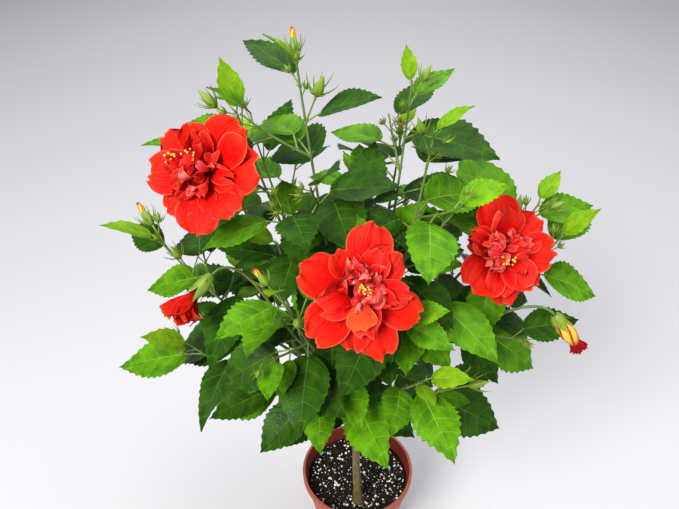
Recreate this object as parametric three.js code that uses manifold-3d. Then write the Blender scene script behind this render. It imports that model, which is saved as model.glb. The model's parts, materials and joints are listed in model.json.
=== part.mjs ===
// A double red hibiscus grown as a small standard: one bare trunk, a round open head of
// leafy boughs with large blooms, and a plastic nursery pot filled with soil.
// Millimetres, +Z up. The origin is the middle of the pot's flat underside, and the
// plant is seen from the front along +Y.
import * as THREE from "three";
import { mergeVertices } from "three/addons/utils/BufferGeometryUtils.js";
import Module from "manifold-3d";

const wasm = await Module();
wasm.setup();

// ---------------------------------------------------------------- driving sizes
const GAP = 0.3; // clearance between pieces that touch

const POT = {
  height: 145,
  rimRadius: 82.5,
  footRadius: 57,
  wall: 1.8,
  floor: 3,
  lip: 9, // height of the rolled lip
  lipProud: 2.6, // how far the lip stands out from the wall
  edge: 1.5, // height of the lip's slanted upper edge
  drains: 6,
  drainWidth: 12,
  drainHeight: 7,
  drainDepth: 14,
  sides: 28,
};
const SOIL = { depthBelowRim: 22, crown: 3, shoulder: 0.6, shoulderRise: 0.7, sides: 28 };
const SOIL_TOP = POT.height - SOIL.depthBelowRim;

const TRUNK = {
  foot: [0, -44, SOIL_TOP + SOIL.crown + GAP],
  fork: [4, -40, 392],
  sway: [-5, 2, 0], // how far its middle stands off the straight line
  footRadius: 5.8,
  forkRadius: 4.3,
  flare: 3, // extra radius at the soil
  flareHeight: 14,
  sides: 9,
  steps: 9,
};

// The head is an egg round the trunk's axis. In front its foot rises towards the viewer.
const HEAD = {
  x: 0,
  y: -44,
  radius: 312,
  heart: 470,
  above: 345,
  foot: 335,
  frontFrom: -105,
  frontRise: 0.85,
  topLeaves: 745, // leaves are smallest from this height up
  lowLeaves: 420, // and largest from this one down
  light: [0, -0.4, 0.9], // where most of its light comes from
};
const LIMB = { radius: 2, radiusPerLength: 0.004, tipRadius: 1.8, sides: 4, steps: 3 };
const STEM_SHARE = 0.62; // a mass's stem takes this share of its route, and the bough the rest
const ARCH = { out: 0.6, climb: 0.3, lift: 12 }; // a route's bend: how far out and up it is

// The boughs, each with its mass of foliage: where it leaves its parent limb (a share of
// that limb), and where the mass's stem ends: its turn about the trunk in degrees (0 is
// right, -90 is the front), its reach from the trunk and its height.
const MASSES = [
  { name: "left_low", from: "trunk", at: 0.68, turn: -176, reach: 198, height: 456, seed: 11, buds: 1 },
  { name: "back_right_low", from: "trunk", at: 0.7, turn: 66, reach: 165, height: 450, seed: 12, buds: 0 },
  { name: "front_right_low", from: "trunk", at: 0.725, turn: -38, reach: 124, height: 446, seed: 45, buds: 1 },
  { name: "back_left_low", from: "trunk", at: 0.75, turn: 140, reach: 200, height: 450, seed: 14, buds: 0 },
  { name: "front_fork", from: "trunk", at: 0.765, turn: -122, reach: 118, height: 478, seed: 32, buds: 0 },
  { name: "front_low", from: "trunk", at: 0.775, turn: -100, reach: 88, height: 452, seed: 51, buds: 0 },
  { name: "back", from: "trunk", at: 0.8, turn: 88, reach: 185, height: 560, seed: 18, buds: 1 },
  { name: "front_left_low", from: "trunk", at: 0.82, turn: -143, reach: 128, height: 452, seed: 47, buds: 0 },
  { name: "right", from: "trunk", at: 0.845, turn: 4, reach: 222, height: 574, seed: 40, buds: 0 },
  { name: "left", from: "trunk", at: 0.87, turn: 173, reach: 222, height: 575, seed: 53, buds: 2 },
  { name: "front_right", from: "trunk", at: 0.895, turn: -58, reach: 122, height: 482, seed: 20, buds: 0 },
  { name: "front_left", from: "trunk", at: 0.92, turn: -126, reach: 130, height: 600, seed: 21, buds: 2 },
  { name: "right_high", from: "trunk", at: 0.945, turn: 10, reach: 200, height: 605, seed: 55, buds: 2 },
  { name: "back_left", from: "back", at: 0.5, turn: 132, reach: 170, height: 640, seed: 23, buds: 1 },
  { name: "back_right", from: "back", at: 0.8, turn: 66, reach: 135, height: 655, seed: 24, buds: 1 },
  { name: "top", from: "trunk", at: 0.96, turn: 38, reach: 68, height: 738, seed: 27, buds: 1 },
  { name: "top_left", from: "trunk", at: 0.97, turn: 170, reach: 56, height: 770, seed: 26, buds: 2 },
  { name: "upper_left", from: "top_left", at: 0.6, turn: 170, reach: 118, height: 722, seed: 25, buds: 1 },
  { name: "top_right", from: "trunk", at: 0.985, turn: -30, reach: 76, height: 722, seed: 38, buds: 1 },
  { name: "heart_front", from: "top_right", at: 0.5, turn: -85, reach: 62, height: 610, seed: 29, buds: 0 },
  { name: "heart_left", from: "front_left", at: 0.6, turn: -172, reach: 85, height: 590, seed: 30, buds: 0 },
  { name: "heart_right", from: "right_high", at: 0.5, turn: -30, reach: 95, height: 590, seed: 31, buds: 0 },
  { name: "heart_low", from: "front_left", at: 0.35, turn: -150, reach: 105, height: 540, seed: 33, buds: 0 },
];

// The blooms, each on a slender bough of its own. The place is the middle of the bloom,
// face is the way it looks (a turn and a rise in degrees), and open is the angle between
// its outer petals and that way.
const BLOOMS = [
  {
    name: "bloom_front", from: "front_left", at: 0.4,
    turn: -91, reach: 106, height: 602, face: [-92, 38], spread: 116, open: 78, seed: 41,
  },
  {
    name: "bloom_left", from: "left", at: 0.6,
    turn: -164, reach: 148, height: 690, face: [-104, 30], spread: 112, open: 76, seed: 42,
  },
  {
    name: "bloom_right", from: "right_high", at: 0.5,
    turn: -7, reach: 150, height: 580, face: [-78, 34], spread: 110, open: 74, seed: 43,
  },
  {
    name: "bloom_faded", from: "left", at: 0.75,
    turn: -172, reach: 182, height: 532, face: [-150, -38], spread: 92, open: 30, seed: 44,
  },
  {
    name: "bloom_opening", from: "right", at: 0.75,
    turn: -8, reach: 237, height: 474, face: [-12, -52], spread: 84, open: 9, seed: 45,
  },
];

const TWIG_SIDES = 3;
const SKIPPED = 0.3; // the share at a stalk's foot, inside its twig, that needs no clearance
const STEM = { tipRadius: 1, steps: 4 };
const SHOOT = {
  length: 70,
  radius: 1.4,
  tipRadius: 0.9,
  lean: 0.95, // radians off the stem
  lift: 0.16, // how far its tip bends up, as a share of its length
  bendAt: 0.6,
  first: 3, // counted in leaves from the stem's tip
  every: 2,
  leafSize: 0.9,
  steps: 2,
  room: 4, // clearance looked for round it
  tries: 6,
  step: 1.05, // turn from one try to the next
};
const LEAF = {
  length: 98, // a full-grown blade at the head's foot
  youngShare: 0.46, // the youngest blade's share of that
  width: 0.7,
  youngWidth: 0.5,
  topShare: 0.86, // a leaf at the top of the head, as a share of one at its foot
  thick: 0.02,
  fold: 0.2, // how steeply the halves rise from the midrib
  curl: 0.14, // how far the tip bends down, as a share of the length
  lean: 1.1, // of a full-grown leaf's stalk off its twig, in radians
  youngLean: 0.4,
  outward: 0.45, // how strongly a blade turns away from the trunk
  youngRise: 0.5, // how strongly a young blade points up
  droop: 0.1, // how strongly a full-grown one hangs at the top of the head
  lowDroop: 0.75, // and how much more it does at the foot
  spacing: 24, // along a stem at the top of the head
  lowSpacing: 36, // and at its foot
  grownAt: 2.5, // leaves from the tip to a full-grown one
  stalk: 32,
  youngStalk: 7,
  stalkRadius: 1,
  facesOut: 0.5, // how far blades face out of the head rather than the light
  divergence: 137.5, // turn from one leaf to the next, in degrees
  room: 1.2, // clearance kept over and under a blade
  swings: [0, 0.45, -0.45, 0.9, -0.9, 1.5, -1.5], // turns tried about the twig, in radians
  stations: [0.2, 0.66],
  youngStations: [0.38],
};
const BUD = { length: 21, radius: 4.6, stalk: 34, stalkRadius: 0.9, sides: 4, room: 1.5, tries: 6 };
const BLOOM = {
  throatBack: 12, // the petals spring from this far behind the bloom's middle
  calyxBack: 34, // and its calyx begins this far behind
  calyxRadius: 6,
  sunk: 6, // how deep the petals' claws stand in the calyx
  boss: 27, // radius of the crumpled inner petals' cluster
  bend: 50, // how far behind the calyx its route turns
  furledBelow: 20, // a bloom that is less open than this is still a bud
  doubleAbove: 60, // and one that is more open shows its inner petals
  core: [8, 10.5, 6], // radii of the roll of petals in any other
  boughShare: 0.6, // the bough's share of the route, and the stalk the rest
  boughRadius: 2.2,
  stalkRadius: 1.5,
  viewer: [0, -600, 950], // blooms are open to someone looking from here
  outlook: 130, // how far before a bloom leaves keep away
  outlookShare: 0.38, // the radius of that space, as a share of the spread
};
const PETAL = { count: 5, thick: 3.2, width: 0.95, cup: 0.1, stations: [0.5, 0.88] };

const FINISH = {
  pot: { color: 0xb0563f, roughness: 0.5 },
  soil: { color: 0x221a15, roughness: 1 },
  bark: { color: 0x7a6a45, roughness: 0.8 },
  leaf: { color: 0x2f7a26, roughness: 0.4 },
  petal: { color: 0xe0231a, roughness: 0.55 },
};

// ---------------------------------------------------------------- solids and joins
const vec = (list) => new THREE.Vector3(...list);
const UP = vec([0, 0, 1]);
const { lerp, degToRad } = THREE.MathUtils;
const clamp01 = (value) => Math.min(1, Math.max(0, value));

function solid(points, faces) {
  const mesh = new wasm.Mesh({
    numProp: 3,
    vertProperties: new Float32Array(points.flatMap((point) => point.toArray())),
    triVerts: new Uint32Array(faces.flat()),
  });
  return new wasm.Manifold(mesh);
}

const MERGE = 1e-3; // points closer than this are one

function solidOf(geometry) {
  geometry.deleteAttribute("normal");
  geometry.deleteAttribute("uv");
  const merged = mergeVertices(geometry, MERGE);
  const mesh = new wasm.Mesh({
    numProp: 3,
    vertProperties: new Float32Array(merged.attributes.position.array),
    triVerts: new Uint32Array(merged.index.array),
  });
  return new wasm.Manifold(mesh);
}

function geometryOf(piece) {
  const { vertProperties, triVerts } = piece.getMesh();
  const geometry = new THREE.BufferGeometry();
  geometry.setAttribute("position", new THREE.Float32BufferAttribute(vertProperties, 3));
  geometry.setIndex(new THREE.Uint32BufferAttribute(triVerts, 1));
  return geometry;
}

// A solid of revolution about +Z, from an outline of radii and heights.
function turned(outline, sides) {
  const points = outline.map(([radius, height]) => new THREE.Vector2(radius, height));
  return solidOf(new THREE.LatheGeometry(points, sides).rotateX(Math.PI / 2));
}

// The largest single body of a fused or cut solid, once slivers along its joins are tidied.
function wholeBody(fused) {
  const bodies = solidOf(geometryOf(fused.simplify(0.02))).decompose();
  return bodies.reduce((largest, body) => (body.volume() > largest.volume() ? body : largest));
}

function fuse(solids) {
  return wholeBody(wasm.Manifold.union(solids));
}

// A tapering tube through a list of points, flat at both ends. The ways are the tube's
// directions there, and by default they run from each point's neighbour to the next.
function tube(points, radii, sides, ways) {
  const last = points.length - 1;
  const chord = points[last].clone().sub(points[0]).normalize();
  const guide = Math.abs(chord.z) < 0.8 ? UP : vec([0, 1, 0]);
  const verts = [];
  points.forEach((point, i) => {
    const along = ways
      ? ways[i]
      : points[Math.min(i + 1, last)].clone().sub(points[Math.max(i - 1, 0)]).normalize();
    const side = along.clone().cross(guide).normalize();
    const rise = side.clone().cross(along);
    for (let k = 0; k < sides; k++) {
      const angle = (2 * Math.PI * k) / sides;
      verts.push(
        point.clone()
          .addScaledVector(side, radii[i] * Math.cos(angle))
          .addScaledVector(rise, radii[i] * Math.sin(angle)),
      );
    }
  });
  const faces = [];
  for (let i = 0; i < last; i++) {
    for (let k = 0; k < sides; k++) {
      const [a, b] = [i * sides + k, i * sides + ((k + 1) % sides)];
      faces.push([a, a + sides, b], [b, a + sides, b + sides]);
    }
  }
  const end = last * sides;
  for (let k = 1; k + 1 < sides; k++) {
    faces.push([0, k, k + 1], [end, end + k + 1, end + k]);
  }
  return solid(verts, faces);
}

// A tube along a stretch of a curve, from one share of it to another. Where it follows
// on from another limb, a lead keeps its first ring that far ahead.
function tubeAlong(line, from, to, steps, sides, radiusAt, lead = 0) {
  const shares = Array.from({ length: steps + 1 }, (_, i) => lerp(from, to, i / steps));
  const ways = shares.map((t) => line.getTangent(t));
  const points = shares.map((t) => line.getPoint(t));
  points[0].addScaledVector(ways[0], lead);
  return tube(points, shares.map(radiusAt), sides, ways);
}

// A thin sheet with sharp margins: surface(t, w) gives a point at t along it and w across
// it, from -1 to 1, and half its thickness stands on each side of its middle line.
function sheet(surface, normal, thick, stations) {
  const points = [surface(0, 0), surface(1, 0)];
  for (const t of stations) {
    points.push(surface(t, -1), surface(t, 1));
    points.push(surface(t, 0).addScaledVector(normal, thick / 2));
    points.push(surface(t, 0).addScaledVector(normal, -thick / 2));
  }
  const faces = [];
  const at = (i, part) => 2 + 4 * i + part; // parts: 0 left, 1 right, 2 top, 3 bottom
  const last = stations.length - 1;
  const both = (a, b, c) => {
    const lower = (p) => (p >= 2 && (p - 2) % 4 === 2 ? p + 1 : p);
    faces.push([a, b, c], [lower(a), lower(c), lower(b)]);
  };
  both(0, at(0, 1), at(0, 2));
  both(0, at(0, 2), at(0, 0));
  for (let i = 0; i < last; i++) {
    both(at(i, 2), at(i, 1), at(i + 1, 1));
    both(at(i, 2), at(i + 1, 1), at(i + 1, 2));
    both(at(i, 2), at(i + 1, 2), at(i + 1, 0));
    both(at(i, 2), at(i + 1, 0), at(i, 0));
  }
  both(at(last, 2), at(last, 1), 1);
  both(at(last, 2), 1, at(last, 0));
  return solid(points, faces);
}

// ---------------------------------------------------------------- seeded draws, clearance
// Each shoot and each leaf draws from a stream of its own, so that one that is skipped
// leaves the others as they were.
function drawsFrom(seed) {
  let state = seed % 2147483647;
  const next = () => {
    state = (state * 16807) % 2147483647;
    return state / 2147483647;
  };
  for (let i = 0; i < 3; i++) next();
  return (low, high) => low + (high - low) * next();
}

const placed = []; // everything that a new piece has to clear

function boxOf(piece) {
  const { min, max } = piece.boundingBox();
  return new THREE.Box3(vec(min), vec(max));
}

function isClear(piece) {
  const box = boxOf(piece);
  return placed.every((other) => {
    if (!other.box.intersectsBox(box)) return true;
    const shared = other.piece.intersect(piece);
    const clear = shared.isEmpty();
    shared.delete();
    return clear;
  });
}

function place(piece) {
  placed.push({ piece, box: boxOf(piece) });
}

// ---------------------------------------------------------------- pot and soil
function pot() {
  const { height, rimRadius, footRadius, wall, floor, lip, lipProud, edge, sides } = POT;
  const bodyTop = rimRadius - lipProud;
  const slope = (bodyTop - footRadius) / height;
  const outline = [
    [0, 0],
    [footRadius, 0],
    [footRadius + slope * (height - lip), height - lip],
    [rimRadius, height - lip],
    [rimRadius, height - edge],
    [rimRadius - edge, height],
    [bodyTop - wall, height],
    [footRadius + slope * floor - wall, floor],
    [0, floor],
  ];
  let body = turned(outline, sides);
  for (let i = 0; i < POT.drains; i++) {
    const hole = new THREE.BoxGeometry(POT.drainDepth, POT.drainWidth, POT.drainHeight);
    hole.translate(footRadius, 0, POT.drainHeight / 2);
    hole.rotateZ((2 * Math.PI * (i + 0.5)) / POT.drains);
    body = body.subtract(solidOf(hole));
  }
  return body;
}

function soil() {
  const { height, rimRadius, lipProud, footRadius, wall, floor } = POT;
  const slope = (rimRadius - lipProud - footRadius) / height;
  const radiusAt = (z) => footRadius + slope * z - wall - GAP;
  const outline = [
    [0, floor + GAP],
    [radiusAt(floor), floor + GAP],
    [radiusAt(SOIL_TOP), SOIL_TOP],
    [radiusAt(SOIL_TOP) * SOIL.shoulder, SOIL_TOP + SOIL.crown * SOIL.shoulderRise],
    [0, SOIL_TOP + SOIL.crown],
  ];
  return turned(outline, SOIL.sides);
}

// ---------------------------------------------------------------- trunk and boughs
function trunkLine() {
  const [foot, fork, sway] = [vec(TRUNK.foot), vec(TRUNK.fork), vec(TRUNK.sway)];
  const middle = foot.clone().lerp(fork, 0.5).addScaledVector(sway, 2);
  return new THREE.QuadraticBezierCurve3(foot, middle, fork);
}

function trunkRadius(share) {
  const above = share * (TRUNK.fork[2] - TRUNK.foot[2]);
  const flare = TRUNK.flare * Math.exp(-above / TRUNK.flareHeight);
  return lerp(TRUNK.footRadius, TRUNK.forkRadius, share) + flare;
}

function headPoint({ turn, reach, height }) {
  const angle = degToRad(turn);
  return vec([HEAD.x + reach * Math.cos(angle), HEAD.y + reach * Math.sin(angle), height]);
}

// A limb's line leaves its parent and climbs late, like the side of a vase.
function routeTo(start, tip) {
  const bend = start.clone().lerp(tip, ARCH.out);
  bend.z = lerp(start.z, tip.z, ARCH.climb) + ARCH.lift;
  return new THREE.QuadraticBezierCurve3(start, bend, tip);
}

// Each limb by name: its curve, the share of it where it ends, its radius at a share of
// it, and the steps and sides of its solid. Past its end the curve is a mass's stem.
const limbs = {
  trunk: { line: trunkLine(), ends: 1, radiusAt: trunkRadius, steps: TRUNK.steps, sides: TRUNK.sides },
};

function forkPoint({ from, at }) {
  const parent = limbs[from];
  return parent.line.getPoint(at * parent.ends);
}

function addLimb(name, line, ends, radius, tipRadius, sides) {
  const radiusAt = (share) => lerp(radius, tipRadius, Math.min(1, share / ends));
  limbs[name] = { line, ends, radiusAt, steps: LIMB.steps, sides };
}

function limbSolid({ line, ends, radiusAt, steps, sides }, extra = 0) {
  return tubeAlong(line, 0, ends, steps, sides, (share) => radiusAt(share) + extra);
}

// ---------------------------------------------------------------- leaves and buds
function across(direction) {
  const guide = Math.abs(direction.z) < 0.8 ? UP : vec([0, 1, 0]);
  const side = direction.clone().cross(guide).normalize();
  return [side, side.clone().cross(direction)];
}

// The way that leans off a stem by an angle, on the side that a turn about it gives.
function leaning(along, turn, lean) {
  const [side, rise] = across(along);
  return along.clone().multiplyScalar(Math.cos(lean))
    .addScaledVector(side, Math.cos(turn) * Math.sin(lean))
    .addScaledVector(rise, Math.sin(turn) * Math.sin(lean));
}

// Half the blade's width at a share of its length: an egg shape with a drawn-out tip.
function halfWidth(t, width) {
  return (width / 2) * Math.sin(Math.PI * t ** 0.7) ** (0.75 + 0.35 * t);
}

// 0 at the top of the head and 1 at its foot.
const lowness = ({ z }) => clamp01((HEAD.topLeaves - z) / (HEAD.topLeaves - HEAD.lowLeaves));

function inHead(point) {
  const reach = Math.hypot(point.x - HEAD.x, point.y - HEAD.y);
  const foot = HEAD.foot + Math.max(0, HEAD.frontFrom - point.y) * HEAD.frontRise;
  const climb = Math.max(0, point.z - HEAD.heart) / HEAD.above;
  return point.z > foot && Math.hypot(reach / HEAD.radius, climb) < 1;
}

// A leaf from its foot on a stem: age runs from 0, just opened, to 1, full grown. Young
// leaves follow the stem, and old ones spread and droop, most of all low in the head.
function leafFrame({ foot, along, turn, age, size: twigSize, roll }) {
  const size = twigSize * lerp(LEAF.topShare, 1, lowness(foot));
  const stalkWay = leaning(along, turn, lerp(LEAF.youngLean, LEAF.lean, age));
  const joint = foot.clone().addScaledVector(stalkWay, lerp(LEAF.youngStalk, LEAF.stalk, age) * size);
  const outward = vec([joint.x - HEAD.x, joint.y - HEAD.y, 0]).normalize();
  const hang = LEAF.droop + LEAF.lowDroop * lowness(joint);
  const axis = vec([stalkWay.x, stalkWay.y, stalkWay.z / 2])
    .addScaledVector(outward, LEAF.outward)
    .addScaledVector(UP, lerp(LEAF.youngRise, -hang, age))
    .normalize();
  const light = joint.clone().sub(vec([HEAD.x, HEAD.y, HEAD.heart])).normalize()
    .multiplyScalar(LEAF.facesOut).add(vec(HEAD.light));
  const flat = axis.clone().cross(light).normalize();
  const normal = flat.clone().cross(axis);
  const side = flat.clone().multiplyScalar(Math.cos(roll)).addScaledVector(normal, Math.sin(roll));
  const length = LEAF.length * lerp(LEAF.youngShare, 1, age) * size;
  const width = length * lerp(LEAF.youngWidth, LEAF.width, age);
  const stations = age < 0.6 ? LEAF.youngStations : LEAF.stations;
  return { foot, joint, axis, side, normal: side.clone().cross(axis), length, width, stations };
}

function bladeSurface({ joint, axis, side, normal, length, width }, spare = 0) {
  const long = 1 + (spare * 2) / length;
  return (t, w) => {
    const half = halfWidth(t, width) + (t > 0 && t < 1 ? spare * 2 : 0);
    return joint.clone()
      .addScaledVector(axis, length * t * long)
      .addScaledVector(side, w * half)
      .addScaledVector(normal, LEAF.fold * Math.abs(w) * half - LEAF.curl * length * t * t);
  };
}

// A leaf is one closed loft. Its stalk has rings of three points, left, right and under,
// and the blade has the same three and one on top of the midrib at each station.
function leafSolid(leaf, spare = 0) {
  const { foot, joint, side, normal } = leaf;
  const surface = bladeSurface(leaf, spare);
  const half = (LEAF.thick * leaf.length) / 2 + spare;
  const radius = LEAF.stalkRadius + spare / 2;
  const way = joint.clone().sub(foot).normalize();
  const wide = side.clone().addScaledVector(way, -side.dot(way)).normalize();
  const down = way.clone().cross(wide);
  const points = [];
  const stalkRing = (centre) => {
    const left = points.length;
    for (const [x, y] of [[-1, -0.6], [1, -0.6], [0, 1]]) {
      points.push(centre.clone().addScaledVector(wide, x * radius).addScaledVector(down, y * radius));
    }
    return { left, right: left + 1, under: left + 2 };
  };
  const bladeRing = (t) => {
    const left = points.length;
    const middle = surface(t, 0);
    points.push(surface(t, -1), surface(t, 1));
    points.push(middle.clone().addScaledVector(normal, -half));
    points.push(middle.clone().addScaledVector(normal, half));
    return { left, right: left + 1, under: left + 2, top: left + 3 };
  };
  const rings = [stalkRing(spare > 0 ? foot.clone().lerp(joint, SKIPPED) : foot), stalkRing(joint)];
  rings.push(...leaf.stations.map(bladeRing));
  const tip = points.push(surface(1, 0)) - 1;
  rings.push({ left: tip, right: tip, under: tip, top: tip });
  const faces = [[rings[0].left, rings[0].under, rings[0].right]];
  for (let i = 0; i + 1 < rings.length; i++) {
    const [a, b] = [rings[i], rings[i + 1]];
    faces.push([a.right, a.under, b.under], [a.right, b.under, b.right]);
    faces.push([a.under, a.left, b.left], [a.under, b.left, b.under]);
    if (b.top === undefined) faces.push([a.left, a.right, b.right], [a.left, b.right, b.left]);
    else if (a.top === undefined) {
      faces.push([a.left, a.right, b.right], [a.left, b.right, b.top], [a.left, b.top, b.left]);
    } else {
      faces.push([a.top, a.right, b.right], [a.top, b.right, b.top]);
      faces.push([a.top, b.top, b.left], [a.top, b.left, a.left]);
    }
  }
  return solid(points, faces.filter(([a, b, c]) => a !== b && b !== c && c !== a));
}

// A flower bud on its stalk: a pointed spindle.
function budPieces({ foot, way, size }, spare = 0) {
  const neck = foot.clone().addScaledVector(way, BUD.stalk * size);
  const shares = [-0.05, 0.35, 1];
  const swell = [0.4, 1, 0.12];
  const points = shares.map((share) => neck.clone().addScaledVector(way, BUD.length * size * share));
  const radii = swell.map((part) => BUD.radius * size * part + spare);
  const radius = BUD.stalkRadius + spare;
  const from = spare > 0 ? SKIPPED : 0;
  return [tube(points, radii, BUD.sides), tube([foot.clone().lerp(neck, from), neck], [radius, radius], 3)];
}

// ---------------------------------------------------------------- masses of foliage
// A twig: its curve, the share of it where it begins, its radii, its leaves' seed, size
// and first turn.
function twigOf(line, begin, radii, seed, size, turn, firstLeaf) {
  return { line, begin, length: line.getLength() * (1 - begin), radii, seed, size, turn, firstLeaf };
}

// Where leaves spring from a twig, from its tip down. They stand closer near the tip.
function leafNodes({ line, begin, length, size, turn, firstLeaf }) {
  const nodes = [];
  const spacing = lerp(LEAF.spacing, LEAF.lowSpacing, lowness(line.getPoint(1))) * size;
  for (let k = firstLeaf; ; k++) {
    const back = spacing * k * lerp(0.5, 1, clamp01(k / LEAF.grownAt));
    if (back > 0.94 * length) return nodes;
    const share = lerp(1, begin, back / length);
    nodes.push({
      k,
      foot: line.getPoint(share),
      along: line.getTangent(share),
      turn: turn + degToRad(LEAF.divergence) * k,
      age: clamp01((k + 0.3) / LEAF.grownAt),
    });
  }
}

function twigSolid({ line, begin, radii }, steps, lead = 0) {
  const radiusAt = (share) => lerp(radii[0], radii[1], (share - begin) / (1 - begin));
  return tubeAlong(line, begin, 1, steps, TWIG_SIDES, radiusAt, lead);
}

function massStem(row) {
  const { line, ends, radiusAt } = limbs[row.name];
  const radii = [radiusAt(ends), STEM.tipRadius];
  return twigOf(line, ends, radii, row.seed * 1000, 1, degToRad(row.seed * 80), 0);
}

// Side shoots stand in the axils of the stem's full-grown leaves.
function sideShoots(row, stem) {
  const shoots = [];
  for (const node of leafNodes(stem)) {
    if (node.k < SHOOT.first || (node.k - SHOOT.first) % SHOOT.every !== 0) continue;
    const draw = drawsFrom(row.seed * 1000 + 500 + node.k);
    const length = SHOOT.length * draw(0.75, 1.25);
    const turn = draw(0, 2 * Math.PI);
    for (let tried = 0; tried < SHOOT.tries; tried++) {
      const way = leaning(node.along, node.turn + 0.4 + tried * SHOOT.step, SHOOT.lean);
      const bend = node.foot.clone().addScaledVector(way, length * SHOOT.bendAt);
      const tip = node.foot.clone().addScaledVector(way, length).addScaledVector(UP, length * SHOOT.lift);
      const beyond = node.foot.clone().lerp(bend, SKIPPED);
      const room = tube([beyond, bend, tip], Array(3).fill(SHOOT.room), TWIG_SIDES);
      if (!inHead(tip) || tip.z < HEAD.foot + SHOOT.length || !isClear(room)) continue;
      const line = new THREE.QuadraticBezierCurve3(node.foot, bend, tip);
      const seed = row.seed * 1000 + 20 * node.k;
      shoots.push(twigOf(line, 0, [SHOOT.radius, SHOOT.tipRadius], seed, SHOOT.leafSize, turn, 1));
      break;
    }
  }
  return shoots;
}

function addBuds(row, stem, parts) {
  for (const node of leafNodes(stem).slice(1, row.buds + 1)) {
    const draw = drawsFrom(row.seed * 1000 + 700 + node.k);
    const size = draw(0.8, 1.15);
    for (let tried = 0; tried < BUD.tries; tried++) {
      const way = leaning(node.along, node.turn + 0.5 + tried, draw(0.35, 0.6));
      const bud = { foot: node.foot, way, size };
      if (!budPieces(bud, BUD.room).every(isClear)) continue;
      const pieces = budPieces(bud);
      pieces.forEach((piece) => place(piece));
      parts.push(...pieces);
      break;
    }
  }
}

function addLeaves(twig, parts) {
  for (const node of leafNodes(twig)) {
    const draw = drawsFrom(twig.seed + node.k * 3 + 1);
    const size = twig.size * draw(0.72, 1.14);
    const roll = draw(-0.35, 0.35);
    for (const swing of LEAF.swings) {
      const rolled = roll * (1 - Math.abs(swing) / 3);
      const leaf = leafFrame({ ...node, turn: node.turn + swing, size, roll: rolled });
      if (!inHead(bladeSurface(leaf)(1, 0)) || !isClear(leafSolid(leaf, LEAF.room))) continue;
      const piece = leafSolid(leaf);
      place(piece);
      parts.push(piece);
      break;
    }
  }
}

// ---------------------------------------------------------------- blooms
function wayOf([turn, rise]) {
  const [a, b] = [degToRad(turn), degToRad(rise)];
  return vec([Math.cos(a) * Math.cos(b), Math.sin(a) * Math.cos(b), Math.sin(b)]);
}

const calyxPoint = (row) => headPoint(row).addScaledVector(wayOf(row.face), -BLOOM.calyxBack);

// A bloom's stalk comes up straight behind it.
function bloomRoute(row) {
  const calyx = calyxPoint(row);
  const bend = calyx.clone().addScaledVector(wayOf(row.face), -BLOOM.bend);
  return new THREE.QuadraticBezierCurve3(forkPoint(row), bend, calyx);
}

function petal(throat, face, turn, lean, length) {
  const axis = leaning(face, turn, lean);
  const side = axis.clone().cross(face).normalize();
  const normal = side.clone().cross(axis);
  const half = (t) => (length * PETAL.width * 0.5) * Math.sin(Math.PI * t ** 1.5) ** 0.6;
  const surface = (t, w) => throat.clone()
    .addScaledVector(axis, length * t)
    .addScaledVector(side, w * half(t))
    .addScaledVector(normal, PETAL.cup * length * (Math.abs(w) * 0.6 - t * t));
  return sheet(surface, normal, PETAL.thick, PETAL.stations);
}

// The boss is the cluster of crumpled inner petals round the stamens.
function boss(centre, radius, seed) {
  const faceted = new THREE.IcosahedronGeometry(radius, 1);
  const ball = mergeVertices(faceted.deleteAttribute("normal").deleteAttribute("uv"));
  const draw = drawsFrom(seed);
  const spots = ball.attributes.position;
  for (let i = 0; i < spots.count; i++) {
    const spot = new THREE.Vector3().fromBufferAttribute(spots, i).multiplyScalar(draw(0.78, 1.12));
    spots.setXYZ(i, spot.x + centre.x, spot.y + centre.y, spot.z + centre.z);
  }
  return solidOf(ball);
}

function bloomPieces(row) {
  const face = wayOf(row.face);
  const middle = headPoint(row);
  const throat = middle.clone().addScaledVector(face, -BLOOM.throatBack);
  const calyx = calyxPoint(row);
  const { line, ends, radiusAt } = limbs[row.name];
  const parts = [
    tubeAlong(line, ends, 1, 3, TWIG_SIDES, radiusAt, GAP),
    tube(
      [calyx.clone().addScaledVector(face, -2), calyx.clone().lerp(throat, 0.35), throat],
      [2.2, BLOOM.calyxRadius, BLOOM.calyxRadius * 1.2],
      6,
    ),
  ];
  const claws = throat.clone().addScaledVector(face, -BLOOM.sunk);
  const open = degToRad(row.open);
  const furled = row.open < BLOOM.furledBelow;
  for (let i = 0; i < PETAL.count && !furled; i++) {
    const turn = (2 * Math.PI * i) / PETAL.count + row.seed;
    parts.push(petal(claws, face, turn, open, row.spread / 2));
  }
  if (row.open > BLOOM.doubleAbove) parts.push(boss(middle, BLOOM.boss, row.seed));
  else {
    const mouth = middle.clone().addScaledVector(face, row.spread * (furled ? 0.2 : 0.06));
    parts.push(tube([claws, middle, mouth], BLOOM.core, 6));
  }
  return parts;
}

// The space between a bloom and the viewer, which leaves keep out of.
function outlook(row) {
  const middle = headPoint(row);
  const way = vec(BLOOM.viewer).sub(middle).normalize();
  const far = middle.clone().addScaledVector(way, BLOOM.outlook);
  const radius = row.spread * BLOOM.outlookShare;
  return tube([middle, far], [radius, radius], 8);
}

// ---------------------------------------------------------------- assembly
const plant = new THREE.Group();

function add(name, piece, finish) {
  const mesh = new THREE.Mesh(
    geometryOf(piece),
    new THREE.MeshStandardMaterial({ ...FINISH[finish], metalness: 0 }),
  );
  mesh.name = name;
  plant.add(mesh);
}

const trunk = limbSolid(limbs.trunk);
add("pot", pot(), "pot");
add("soil", soil(), "soil");
add("trunk", trunk, "bark");
place(trunk);

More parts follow.
